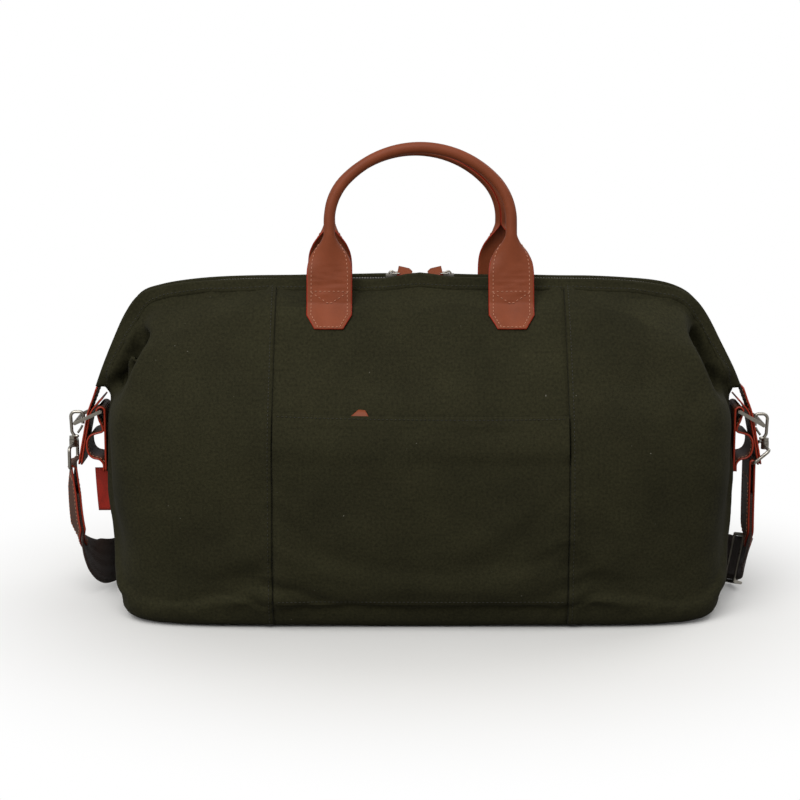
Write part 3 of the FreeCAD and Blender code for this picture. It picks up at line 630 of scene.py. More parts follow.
def ear_rings(side):
    """Sections of the flap under the zip, from the ridge's end down to the ear's tip."""
    line = half_line(side, 6)[len(RIDGE) * 6:]
    rings = []
    for i, point in enumerate(line):
        before, after = line[max(i - 1, 0)], line[min(i + 1, len(line) - 1)]
        run = Vector((after[0] - before[0], 0, after[1] - before[1])).normalized()
        normal = Vector((-run.z, 0, run.x))
        share = i / (len(line) - 1)
        lobe = smoothstep(-0.1, 0.35, share) * (1 - smoothstep(0.62, 1.0, share))
        half = 10 + 30 * lobe
        deep = 9 + 20 * lobe
        centre = Vector((point[0], 0, point[1])) - normal * (1.5 + deep / 2)
        ring = []
        for k in range(24):
            turn = 2 * math.pi * k / 24
            c, s = math.cos(turn), math.sin(turn)
            reach = (abs(c) ** 4 + abs(s) ** 4) ** -0.25
            across = half * c * reach * (1 - 0.72 * lobe * smoothstep(-0.8, 0.9, s))
            p = centre + Vector((0, across, 0)) + normal * (deep / 2 * s * reach)
            ring.append(Vector((side * p.x, p.y, p.z)) * MM)
        rings.append(ring)
    return rings


def body_form():
    """Closed form of the filled bag: lofted box and gable, joined to the two folded ears."""
    body = section_loft("canvas_form", body_rings(), [])
    for vertex in body.data.vertices:
        x, y, z = vertex.co
        vertex.co.z = z - ridge_sag(x) * smoothstep(0.225, 0.274, z)
        if abs(x) > 0.2 and z > 0.18:
            behind = 1 - smoothstep(0.040, 0.060, abs(y))
            level = smoothstep(0.184, 0.198, z) * (1 - smoothstep(0.226, 0.248, z))
            vertex.co.x -= math.copysign(24 * MM * behind * level, x)
    ears = [section_loft("ear_form", ear_rings(side), []) for side in SIDES.values()]
    for part in [body, *ears]:
        outward(part)
    with bpy.context.temp_override(active_object=body, selected_editable_objects=[body, *ears]):
        bpy.ops.object.join()
    remesh = body.modifiers.new("cells", "REMESH")
    remesh.mode = "VOXEL"
    remesh.voxel_size = sizes().mesh_cell
    smooth = body.modifiers.new("soften", "SMOOTH")
    smooth.factor, smooth.iterations = 0.5, 3
    applied(body)
    return body


def coordinates(mesh):
    co = np.zeros(len(mesh.vertices) * 3)
    mesh.vertices.foreach_get("co", co)
    return co.reshape(-1, 3)


DRAPE_FRAMES = 26
DRAPE_OUT, DRAPE_IN = 5.0 * MM, 4.5 * MM


def drape(body):
    """Let the canvas settle: cut a little large, held at base, seams and zip, blown out softly."""
    start = coordinates(body.data)
    normals = np.zeros(len(body.data.vertices) * 3)
    body.data.vertices.foreach_get("normal", normals)
    normals = normals.reshape(-1, 3)
    held = body.vertex_groups.new(name="held")
    for i, (x, y, z) in enumerate(start):
        near_zip = abs(y) < 0.016 and z > 0.17
        seam = math.exp(-((abs(x) - SEAM_X) / (5 * MM)) ** 2)
        weight = 1.0 if near_zip else max(1 - smoothstep(6 * MM, 32 * MM, z), 0.35 * seam)
        if weight > 0.01:
            held.add([i], weight, "REPLACE")
    cloth = body.modifiers.new("drape", "CLOTH")
    cloth.settings.quality = 6
    cloth.settings.mass = 0.35
    cloth.settings.tension_stiffness = 30
    cloth.settings.compression_stiffness = 30
    cloth.settings.shear_stiffness = 8
    cloth.settings.bending_stiffness = 2.5
    cloth.settings.use_pressure = True
    cloth.settings.uniform_pressure_force = 2.0
    cloth.settings.shrink_min = -0.035
    cloth.settings.vertex_group_mass = "held"
    cloth.settings.pin_stiffness = 1.0
    cloth.settings.effector_weights.gravity = 0.5
    cloth.collision_settings.use_collision = False
    cloth.collision_settings.use_self_collision = False
    cloth.point_cache.frame_start = 1
    cloth.point_cache.frame_end = DRAPE_FRAMES
    scene = bpy.context.scene
    for number in range(1, DRAPE_FRAMES + 1):
        scene.frame_set(number)
    applied(body)
    scene.frame_set(1)
    moved = coordinates(body.data) - start
    out = (moved * normals).sum(1)
    length = np.linalg.norm(moved, axis=1)
    limit = np.where(out > 0, DRAPE_OUT, DRAPE_IN)
    scale = np.where(length > 1e-9, limit * np.tanh(length / limit) / np.maximum(length, 1e-9), 1.0)
    moved *= scale[:, None]
    body.data.vertices.foreach_set("co", (start + moved).ravel())
    body.data.update()
    print(f"drape moved {length.mean() / MM:.2f} mm, most {length.max() / MM:.2f}")


SEAM_OVERLAP = 8.0 * MM          # turned edge of the side panels, lapped over the centre panels
BASE_TOP = 2.5 * MM              # the base panel's upper edge

# Where each ear folds over the body's end: the fold's upper and lower ends (mm from the middle, mm up).
EAR_FOLDS = {LEFT: ((234, 233), (255, 193)), RIGHT: ((232, 235), (251, 194))}


def ear_fold(x, z):
    """How far the canvas is drawn in along an ear's fold, or puffed out beside it (mm)."""
    (top_x, top_z), (low_x, low_z) = EAR_FOLDS[LEFT if x < 0 else RIGHT]
    length = math.hypot(low_x - top_x, low_z - top_z)
    run_x, run_z = (low_x - top_x) / length, (low_z - top_z) / length
    from_x, from_z = abs(x) / MM - top_x, z / MM - top_z
    share = (from_x * run_x + from_z * run_z) / length
    beside = from_z * run_x - from_x * run_z
    fade = smoothstep(-0.35, 0.2, share) * (1 - smoothstep(1.0, 1.3, share))
    return fade * (3.0 * math.exp(-((beside - 9) / 5) ** 2) - 12.0 * math.exp(-(beside / 4.2) ** 2))


def split_by_plane(bm, point, normal):
    """Run an edge through the mesh where a plane meets it."""
    return bmesh.ops.bisect_plane(bm, geom=bm.verts[:] + bm.edges[:] + bm.faces[:], dist=1e-6,
                                  plane_co=point, plane_no=normal)["geom_cut"]


def work_canvas(body):
    """Finer cells, then seams, puckers and creases worked into the surface."""
    finer = body.modifiers.new("finer", "SUBSURF")
    finer.levels = finer.render_levels = 1
    applied(body)
    bm = bmesh.new()
    bm.from_mesh(body.data)
    for x in (SEAM_X - 1.2 * MM, SEAM_X, SEAM_X + 1.0 * MM, SEAM_X + SEAM_OVERLAP):
        for side in (LEFT, RIGHT):
            split_by_plane(bm, (side * x, 0, 0), (1, 0, 0))
    split_by_plane(bm, (0, 0, 0), (0, 1, 0))
    split_by_plane(bm, (0, 0, BASE_TOP), (0, 0, 1))
    bm.normal_update()
    for vertex in bm.verts:
        x, y, z = vertex.co
        if z < 2.6 * MM:
            continue
        beside = abs(x) - SEAM_X
        lap = smoothstep(-0.2 * MM, 0.9 * MM, beside) * (1 - smoothstep(5 * MM, 11 * MM, beside))
        groove = math.exp(-((beside + 0.6 * MM) / (1.1 * MM)) ** 2)
        pucker = math.sin(z / (7.5 * MM) * 2 * math.pi + 2.5 * noise.noise(Vector((x, y, z)) * 40))
        pucker *= math.exp(-((beside - 3 * MM) / (9 * MM)) ** 2)
        free = smoothstep(3 * MM, 40 * MM, z) * (1 - smoothstep(0.262, 0.272, z))
        ear = smoothstep(0.10, 0.24, abs(x)) * smoothstep(0.13, 0.20, z) * free
        ear *= smoothstep(0.012, 0.06, math.hypot(z - 0.215, 0.245 - abs(x)))
        spread = math.atan2(z - 0.215, 0.245 - abs(x))
        fan = math.sin(7.0 * spread + 1.3 * noise.noise(Vector((x * 8, y * 8, 1.7 if x > 0 else 6.1))))
        place = Vector((x * 9, y * 9, z * 14))
        crease = noise.noise(place) * 2.3 + noise.noise(place * 2.7) * 1.0 + noise.noise(place * 7) * 0.22
        if y < 0 and abs(x) < SEAM_X:
            crease *= 1 - 0.85 * math.exp(-((z - POCKET_HIGH.z + 8 * MM) / (16 * MM)) ** 2)
        rise = 1.0 * lap - 1.3 * groove + 0.22 * pucker * free + 1.15 * crease * free + 1.3 * fan * ear
        if abs(x) > 0.21 and z > 0.17 and abs(y) > 0.014:
            rise += ear_fold(x, z)
        vertex.co += vertex.normal * (rise * MM)
    hold_back(bm)
    bm.to_mesh(body.data)
    bm.free()
    body.data.update()


def hold_back(bm):
    """Keep the canvas clear of the leather sewn to the ends, the floor and the zip."""
    for vertex in bm.verts:
        x, y, z = vertex.co
        if abs(y) < 0.026 and 0.104 < z < 0.176:
            vertex.co.x = math.copysign(min(abs(x), 0.2678), x)
        vertex.co.z = max(z, 0.0002)
        if abs(y) < 0.0105 and abs(x) < 0.226:
            vertex.co.z = min(vertex.co.z, 0.2752)


def cloth_uv(mesh):
    """Each face's threads run with the nearest of the three main planes."""
    layer = mesh.uv_layers.new(name="cloth")
    for polygon in mesh.polygons:
        n = polygon.normal
        flat = max(range(3), key=lambda i: abs(n[i]) * (1.25 if i == 1 else 1.0))
        a, b = ((1, 2), (0, 2), (0, 1))[flat]
        for loop in polygon.loop_indices:
            co = mesh.vertices[mesh.loops[loop].vertex_index].co
            layer.data[loop].uv = (co[a], co[b])


def panel_name(centre):
    if centre.z < BASE_TOP:
        return "base_panel"
    depth = "front" if centre.y < 0 else "back"
    if abs(centre.x) < SEAM_X:
        return depth + "_centre_panel"
    return ("left_" if centre.x < 0 else "right_") + depth + "_panel"


def cut_panels(body):
    """The sewn body taken apart along its seams, each panel a solid sheet of canvas."""
    mesh = body.data
    groups = {}
    for polygon in mesh.polygons:
        groups.setdefault(panel_name(polygon.center), []).append(tuple(polygon.vertices))
    for name, faces in groups.items():
        used = sorted({v for face in faces for v in face})
        order = {v: i for i, v in enumerate(used)}
        panel = mesh_object("canvas_" + name, [mesh.vertices[v].co for v in used],
                            [tuple(order[v] for v in face) for face in faces], [finish("canvas")])
        cloth_uv(panel.data)
        thick = panel.modifiers.new("thick", "SOLIDIFY")
        thick.thickness, thick.offset = sizes().canvas, -1
        applied(panel)
        settle(panel, "bag", "canvas", name)


def slice_lines(bm_source, point, normal, keep, lift):
    """Where a plane cuts the body, as ordered lines just proud of the cloth."""
    bm = bm_source.copy()
    tree = BVHTree.FromBMesh(bm)
    cut = split_by_plane(bm, point, normal)
    edges = [e for e in cut if isinstance(e, bmesh.types.BMEdge) and all(keep(v.co) for v in e.verts)]
    links = {}
    for edge in edges:
        for one, other in zip(edge.verts, reversed(edge.verts)):
            links.setdefault(one, []).append(other)
    lines, seen = [], set()
    for start in sorted((v for v in links if len(links[v]) == 1), key=lambda v: tuple(v.co)):
        if start in seen:
            continue
        line, at = [start], start
        seen.add(start)
        while True:
            following = [v for v in links[at] if v not in seen]
            if not following:
                break
            at = following[0]
            seen.add(at)
            line.append(at)
        raised = []
        for vertex in line:
            found = tree.find_nearest(vertex.co)
            raised.append(vertex.co + found[1] * lift)
        if len(raised) > 4:
            lines.append(raised[::2] + raised[-1:])
    bm.free()
    return lines


def on_the_sides(co):
    """Whether a point is on the bag's front or back, above the base and clear of the zip."""
    return co.z > 5 * MM and abs(co.y) > 13 * MM


def seam_stitches(body):
    """Topstitching beside each of the four upright seams."""
    bm = bmesh.new()
    bm.from_mesh(body.data)
    lines = []
    for side in (LEFT, RIGHT):
        lines += slice_lines(bm, (side * (SEAM_X + 3.6 * MM), 0, 0), (1, 0, 0), on_the_sides, 0.25 * MM)
    settle(stitches("seam_topstitching", lines, "canvas_thread"), "bag", "canvas")
    bm.free()


LINING_GAP = 4.5 * MM


def sew_lining(body):
    """Loose lining hanging just inside the canvas, ending short of the folded ears."""
    mesh = body.data.copy()
    lining = bpy.data.objects.new("cotton_lining", mesh)
    bpy.context.scene.collection.objects.link(lining)
    for vertex, normal in zip(mesh.vertices, [n.vector.copy() for n in mesh.vertex_normals]):
        vertex.co -= normal * LINING_GAP
    bm = bmesh.new()
    bm.from_mesh(mesh)
    ears = [v for v in bm.verts if abs(v.co.x) > 0.208 and v.co.z > 0.172]
    bmesh.ops.delete(bm, geom=ears, context="VERTS")
    bm.to_mesh(mesh)
    bm.free()
    mesh.materials.clear()
    mesh.materials.append(finish("lining"))
    thick = lining.modifiers.new("thick", "SOLIDIFY")
    thick.thickness, thick.offset = 0.8 * MM, -1
    applied(lining)
    settle(lining, "bag", "lining_cloth", "lining")


class BAG_OT_canvas_body(bpy.types.Operator):
    """Drape the canvas body and cut it into its sewn panels"""
    bl_idname = "bag.canvas_body"
    bl_label = "Canvas body"

    def execute(self, context):
        body = body_form()
        drape(body)
        sew_lining(body)
        work_canvas(body)
        seam_stitches(body)
        cut_panels(body)
        BODY["tree"] = BVHTree.FromPolygons([v.co.copy() for v in body.data.vertices],
                                            [tuple(p.vertices) for p in body.data.polygons])
        bpy.data.objects.remove(body)
        return {"FINISHED"}


BODY = {}


def on_body(origin, direction):
    """Point and outward normal where a line first meets the canvas."""
    hit, normal, _, _ = BODY["tree"].ray_cast(Vector(origin), Vector(direction))
    if hit is None:
        raise RuntimeError(f"no canvas along {tuple(origin)}")
    return hit, normal


# ---- front pocket --------------------------------------------------------------------------------

POCKET_COLUMNS, POCKET_ROWS = 110, 80
HEM_DEPTH = 9.0 * MM
ZIP_ROOM = 5.2 * MM              # space left under the pocket for its zip's slider to pass


def pocket_top(x):
    """Height of the pocket's opening edge, which dips a little in the middle and to the right."""
    return POCKET_HIGH.z + 1.6 * MM - 1.6 * MM * (1 - (x / SEAM_X) ** 2) - 4.0 * MM * (x + SEAM_X) / 0.48


def pocket_surface(x, share):
    z = POCKET_LOW.z + share * (pocket_top(x) - POCKET_LOW.z)
    hit, _ = on_body((x, -0.3, z), (0, 1, 0))
    edge = min(SEAM_X - abs(x), (z - POCKET_LOW.z)) / MM
    loose = smoothstep(0, 14, edge)
    below = pocket_top(x) - z
    hem = 0.7 * (1 - smoothstep(HEM_DEPTH - 0.8 * MM, HEM_DEPTH + 0.8 * MM, below))
    mouth = 1.6 * (1 - smoothstep(0, 0.05, below)) * (1 - (x / SEAM_X) ** 4)
    place = Vector((x * 11 + 4, 2.0, z * 13))
    crease = noise.noise(place) * 1.3 + noise.noise(place * 2.6) * 0.5
    rise = 1.7 + loose * (2.2 + hem + mouth + crease)
    y = hit.y - rise * MM
    past = (1 - smoothstep(0.026, 0.042, below)) * (1 - smoothstep(0.124, 0.134, abs(x)))
    if past:
        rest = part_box("pocket_zip_slider")
        behind, _ = on_body(((rest[0].x + rest[1].x) / 2, -0.3, z), (0, 1, 0))
        y += min(0.0, behind.y - ZIP_ROOM - y) * past
    return Vector((x, y, z))


class BAG_OT_front_pocket(bpy.types.Operator):
    """Make the flat front pocket, its stitching and the zip behind its edge"""
    bl_idname = "bag.front_pocket"
    bl_label = "Front pocket"

    def execute(self, context):
        width = SEAM_X - 0.7 * MM
        xs = [-width + 2 * width * i / POCKET_COLUMNS for i in range(POCKET_COLUMNS + 1)]
        verts = [pocket_surface(x, row / POCKET_ROWS) for row in range(POCKET_ROWS + 1) for x in xs]
        pocket = mesh_object("canvas_front_pocket", verts, sheet_faces(POCKET_ROWS, POCKET_COLUMNS),
                             [finish("canvas")])
        cloth_uv(pocket.data)
        thick = pocket.modifiers.new("thick", "SOLIDIFY")
        thick.thickness, thick.offset = sizes().canvas, -1
        round_edge = pocket.modifiers.new("round", "BEVEL")
        round_edge.width, round_edge.segments, round_edge.angle_limit = 0.5 * MM, 2, math.radians(50)
        applied(pocket)
        settle(pocket, "bag", "canvas", "front_pocket_panel")
        lines = []
        lines.append([self.raised(x, pocket_top(x) - 2.4 * MM) for x in xs[2:-2:2]])
        lines.append([self.raised(x, POCKET_LOW.z + 3 * MM) for x in xs[2:-2:2]])
        settle(stitches("pocket_stitching", lines, "canvas_thread"), "bag", "canvas")
        self.zip()
        return {"FINISHED"}

    def raised(self, x, z):
        share = (z - POCKET_LOW.z) / (pocket_top(x) - POCKET_LOW.z)
        return pocket_surface(x, share) + Vector((0, -0.25 * MM, 0))

    def zip(self):
        """Tape and teeth sewn to the panel just behind the pocket's edge."""
        low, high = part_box("pocket_zip_tape")
        middle, half = (low.z + high.z) / 2, (high.z - low.z) / 2
        points = []
        for i in range(61):
            x = low.x + (high.x - low.x) * i / 60
            hit, _ = on_body((x, -0.3, middle), (0, 1, 0))
            points.append(hit + Vector((0, -0.6 * MM, 0)))
        across = (on_body((0, -0.3, middle + half), (0, 1, 0))[0]
                  - on_body((0, -0.3, middle - half), (0, 1, 0))[0]).normalized()
        tape = leather_strip("pocket_zip_cloth", strip_stations(points, across, half, 1), 0.7 * MM, "tape", 6)
        tape.data.materials[1] = finish("tape")
        settle(tape, "bag", "zip_tape", "pocket_zip_tape")
        teeth = [p + Vector((0, -0.9 * MM, 0)) for p in points]
        settle(repeated("pocket_zip_chain", [teeth], "tooth", 2.2 * MM, 1.2 * MM, 3.0 * MM, 1.2 * MM,
                        "nickel"), "bag", "satin_nickel", "pocket_zip_teeth")
        self.runner()

    def runner(self):
        """Slider lying behind the pocket's edge, with the tip of its leather pull just showing."""
        low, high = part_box("pocket_zip_slider")
        middle = (low + high) / 2
        hit, _ = on_body((middle.x, -0.3, middle.z), (0, 1, 0))
        size = high - low
        size.y = min(size.y, 2.6 * MM)
        corners = [Vector((sx, sy, sz)) for sx in (-0.5, 0.5) for sy in (-0.5, 0.5) for sz in (-0.5, 0.5)]
        centre = Vector((middle.x, hit.y - 2.0 * MM, middle.z))
        faces = ((0, 1, 3, 2), (4, 6, 7, 5), (0, 4, 5, 1), (2, 3, 7, 6), (0, 2, 6, 4), (1, 5, 7, 3))
        slider = mesh_object("pocket_slider_finished",
                             [centre + Vector((c.x * size.x, c.y * size.y, c.z * size.z)) for c in corners],
                             faces, [finish("nickel")])
        ease = slider.modifiers.new("ease", "BEVEL")
        ease.width, ease.segments = 0.6 * MM, 2
        applied(slider)
        outward(slider)
        settle(slider, "pocket_runner", "satin_nickel", "pocket_zip_slider")
        low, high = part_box("pocket_zip_pull")
        x = (low.x + high.x) / 2
        top = pocket_top(x) + 3.6 * MM
        rise = []
        for k in range(9):
            z = top - (18 - 2.25 * k) * MM
            hit, _ = on_body((x, -0.3, z), (0, 1, 0))
            rise.append(hit + Vector((0.5 * MM * k, -2.3 * MM, 0)))
        halves = [(9.0 if k < 6 else 9.0 - 2.1 * (k - 5)) * MM for k in range(9)]
        pull = leather_strip("pocket_pull_leather", strip_stations(rise, (1, 0, 0.3), halves, -1), 1.3 * MM,
                             "tan", 6)
        settle(pull, "pocket_runner", "leather_tan", "pocket_zip_pull")


# ---- ridge zip -----------------------------------------------------------------------------------


def zip_line(offset, y, wave=None):
    """Points along the ridge and both ears, moved off the zip line and to one side."""
    halves = {}
    for side in (LEFT, RIGHT):
        half = half_line(side, 5)
        halves[side] = []
        for i, point in enumerate(half):
            before, after = half[max(i - 1, 0)], half[min(i + 1, len(half) - 1)]
            run = Vector((after[0] - before[0], 0, after[1] - before[1])).normalized()
            moved = Vector((point[0], 0, point[1])) * MM + Vector((-run.z, 0, run.x)) * offset
            halves[side].append(Vector((side * moved.x, y, moved.z)))
    line = halves[LEFT][:0:-1] + halves[RIGHT]
    if wave:
        line = [p + Vector((0, 0, wave(p.x))) for p in line]
    return line


def ridge_wave(depth):
    """The ridge's soft waviness, with a small hump over the meeting sliders at the front."""

    def rise(x):
        soft = 0.7 * MM * noise.noise(Vector((x * 22, depth * 5.0, 0.3)))
        if depth == BACK:
            return soft + 1.2 * MM * math.exp(-((x + 0.02) / 0.04) ** 2)
        hump = 4.2 * MM * math.exp(-((x + 0.001) / 0.019) ** 2)
        dip = 1.6 * MM * math.exp(-((x + 0.045) / 0.02) ** 2)
        return soft + hump - dip
    return rise


# Outline of the ridge's turned edge (mm out from the zip and up), then where it laps onto the canvas.
EDGE_ROLL = ((-1.7, -1.6), (-2.0, 0.2), (-1.3, 1.7), (0.2, 2.3), (1.6, 1.8), (2.5, 0.5))
LAP = ((3.8, 2.2), (5.6, 4.4), (7.4, 7.0))


class BAG_OT_ridge_zip(bpy.types.Operator):
    """Make the ridge's turned edges, zip tapes, teeth, sliders and leather pulls"""
    bl_idname = "bag.ridge_zip"
    bl_label = "Ridge zip"

    def execute(self, context):
        for name, depth in DEPTHS.items():
            self.turned_edge(name, depth)
            tape = strip_stations(zip_line(-0.6 * MM, depth * 5.3 * MM), (0, 1, 0), 2.9 * MM, 1)
            cloth = leather_strip(f"zip_cloth_{name}", tape, 0.9 * MM, "tape", 4)
            cloth.data.materials[1] = finish("tape")
            settle(cloth, "bag", "zip_tape", f"zip_tape_{name}")
            chain = repeated(f"zip_chain_{name}", [zip_line(0.0, depth * 1.25 * MM)], "tooth",
                             2.3 * MM, 1.3 * MM, 2.6 * MM, 1.9 * MM, "nickel")
            settle(chain, "bag", "satin_nickel", f"zip_teeth_{name}")
        for name, side in SIDES.items():
            runner = f"zip_slider_{name}"
            polished(runner, 0.35 * MM)
            polished(f"zip_pull_link_{name}", 0.0)
            low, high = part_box(f"zip_pull_{name}")
            z = (low.z + high.z) / 2
            ends = (high.x, low.x) if side == RIGHT else (low.x, high.x)
            points = [Vector((ends[0] + (ends[1] - ends[0]) * k / 8, 0, z + (1.8 - 0.35 * k) * MM))
                      for k in range(9)]
            halves = [(5.0 if k < 7 else 5.0 - 1.3 * (k - 6)) * MM for k in range(9)]
            stations = strip_stations(points, (0, 0.8, 0.6), halves, -side)
            pull = leather_strip(f"zip_pull_leather_{name}", stations, 2.4 * MM, "tan", 6)
            settle(pull, f"zip_pull_{name}", "leather_tan", f"zip_pull_{name}")
        return {"FINISHED"}

    def turned_edge(self, name, depth):
        """The panel's folded top edge: a soft roll beside the zip, lapped down onto the canvas."""
        line = zip_line(0.2 * MM, depth * 10.4 * MM, wave=ridge_wave(depth))
        out = Vector((0, depth, 0))
        rings, seam = [], []
        for i, point in enumerate(line):
            up = Vector((0, 1, 0)).cross(run_at(line, i))
            up = -up if up.z < 0 else up
            laid = []
            for away, down in LAP:
                spot, normal, _, _ = BODY["tree"].find_nearest(point + (out * away - up * down) * MM)
                laid.append((spot, normal))
            roll = [point + (out * y + up * z) * MM for y, z in EDGE_ROLL]
            ring = roll + [spot + normal * (rise * MM) for (spot, normal), rise in zip(laid, (1.0, 0.7, 0.3))]
            ring += [spot - normal * (0.5 * MM) for spot, normal in reversed(laid)]
            rings.append(ring)
            seam.append(laid[1][0] + laid[1][1] * (0.95 * MM))
        edge = section_loft(f"ridge_turned_edge_{name}", rings, [finish("canvas")])
        outward(edge)
        cloth_uv(edge.data)
        settle(edge, "bag", "canvas")
        settle(stitches(f"ridge_stitching_{name}", [seam], "canvas_thread"), "bag", "canvas")


def polished(node, bevel, material="nickel", slot="satin_nickel"):
    """A metal piece with its mesh joined up, its edges eased and a smooth finish."""
    source = frame["nodes"][node]
    piece = bpy.data.objects.new(node + "_finished", source.data.copy())
    bpy.context.scene.collection.objects.link(piece)
    bm = bmesh.new()
    bm.from_mesh(piece.data)
    bmesh.ops.remove_doubles(bm, verts=bm.verts, dist=1e-6)
    bmesh.ops.dissolve_limit(bm, angle_limit=math.radians(1.0), verts=bm.verts, edges=bm.edges)
    if bevel:
        sharp = [e for e in bm.edges if len(e.link_faces) == 2 and e.calc_face_angle() > math.radians(50)]
        bmesh.ops.bevel(bm, geom=sharp, offset=bevel, segments=2, affect="EDGES", clamp_overlap=True)
    for face in bm.faces:
        face.smooth = True
    for edge in bm.edges:
        edge.smooth = len(edge.link_faces) != 2 or edge.calc_face_angle() < math.radians(35)
    bm.to_mesh(piece.data)
    bm.free()
    piece.data.materials.clear()
    piece.data.materials.append(finish(material))
    body = frame["nodes"][node]["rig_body"]
    return settle(piece, body, slot, node)


# ---- handles -------------------------------------------------------------------------------------

ARCH_JOIN = math.radians(44.0)
ARCH_SHARE = 1.13                # crown radius as a share of half the span
LEAN = math.radians(8.4)
FULL_ROLL = 2 * math.pi * 0.955
TUBE_HALF = 11.6 * MM            # half the leather's width where it is rolled into a tube
TAB_FAR = 52.0 * MM              # from the ridge back to the tab's end


class Handle:
    """Where one handle stands: half span, apex and sideways shift in mm, and where its leather rolls up."""

    def __init__(self, name, depth, span, apex, shift, roll_start, roll_end):
        self.name, self.depth, self.span, self.apex, self.shift = name, depth, span, apex, shift
        self.roll_start, self.roll_end = roll_start, roll_end
        self.hinge = Vector(JOINTS[f"{name}_handle_swing"]["pos_m"])
        self.lean = Vector((0, -depth * math.sin(LEAN), math.cos(LEAN)))
        self.inner = Vector((0, -depth * math.cos(LEAN), -math.sin(LEAN)))


BRIDGE_STEPS = 9                 # stations between the tab and the hinge line
CORE_RADIUS = 2.4 * MM


def arch_points(handle):
    """Half arch in its own plane (mm from the hinge line): leg, shoulder and crown."""
    crown = handle.span * ARCH_SHARE
    shoulder = (handle.span - crown * math.cos(ARCH_JOIN)) / (1 - math.cos(ARCH_JOIN))
    rise = crown - (crown - shoulder) * math.sin(ARCH_JOIN)
    spring = (handle.apex - handle.hinge.z / MM) / math.cos(LEAN) - rise
    leg_steps, turn_steps = 34, 22
    points = [(handle.span, spring * k / leg_steps) for k in range(2, leg_steps)]
    for k in range(turn_steps + 1):
        turn = ARCH_JOIN * k / turn_steps
        points.append((handle.span - shoulder + shoulder * math.cos(turn),
                       spring + shoulder * math.sin(turn)))
    for k in range(1, turn_steps + 1):
        turn = ARCH_JOIN + (math.pi / 2 - ARCH_JOIN) * k / turn_steps
        points.append((crown * math.cos(turn), spring + rise - crown + crown * math.sin(turn)))
    return points


def handle_stations(handle):
    """Stations from the right tab, up the leg, over the arch and down to the left tab."""
    half_width = sizes().strip_width / 2 - 0.8 * MM
    near = abs(handle.hinge.y) + 1 * MM
    points, heights = [], []
    tab_steps = 20
    for k in range(tab_steps + 1):
        share = k / tab_steps
        y = handle.depth * (TAB_FAR + (near - TAB_FAR) * share)
        hit, normal = on_body((handle.span * MM, y, 0.32), (0, 0, -1))
        half = half_width * (0.63 + 0.37 * min(1.0, share / 0.55))
        points.append((hit + normal * (1.4 + 1.6 * share ** 4) * MM, half))
        heights.append(-1.0)
    foot, last = arch_points(handle)[0], points[-1][0]
    first = Vector((foot[0] * MM, handle.hinge.y, handle.hinge.z)) + handle.lean * (foot[1] * MM)
    for k in range(1, BRIDGE_STEPS):
        share = k / BRIDGE_STEPS
        points.append((last.lerp(first, share), half_width))
        heights.append(foot[1] - (first.z - last.z) / MM * (1 - share))
    for x, height in arch_points(handle):
        at = Vector((x * MM, handle.hinge.y, handle.hinge.z)) + handle.lean * (height * MM)
        points.append((at, half_width))
        heights.append(height)
    line = points + [(Vector((-p.x, p.y, p.z)), half) for p, half in reversed(points[:-1])]
    heights = heights + heights[-2::-1]
    middles = [point for point, _ in line]
    made = []
    for i, (point, half) in enumerate(line):
        run = run_at(middles, i)
        if heights[i] < handle.roll_start:
            wide = Vector((1 if i < len(line) / 2 else -1, 0, 0))
            wide = (wide - run * wide.dot(run)).normalized()
        else:
            wide = handle.inner.cross(run).normalized()
        face = run.cross(wide)
        if face.dot(handle.inner) > 0:
            face = -face
        climbed = (heights[i] - handle.roll_start) / (handle.roll_end - handle.roll_start)
        climbed = min(1.0, max(0.0, climbed))
        share = climbed ** 2.2
        half = half + (TUBE_HALF - half) * climbed ** 2
        made.append(Station(point + Vector((handle.shift * MM, 0, 0)), wide, face, half, FULL_ROLL * share,
                            2 * half / FULL_ROLL * share))
    keep_upright(made)
    return made, heights, tab_steps + 1


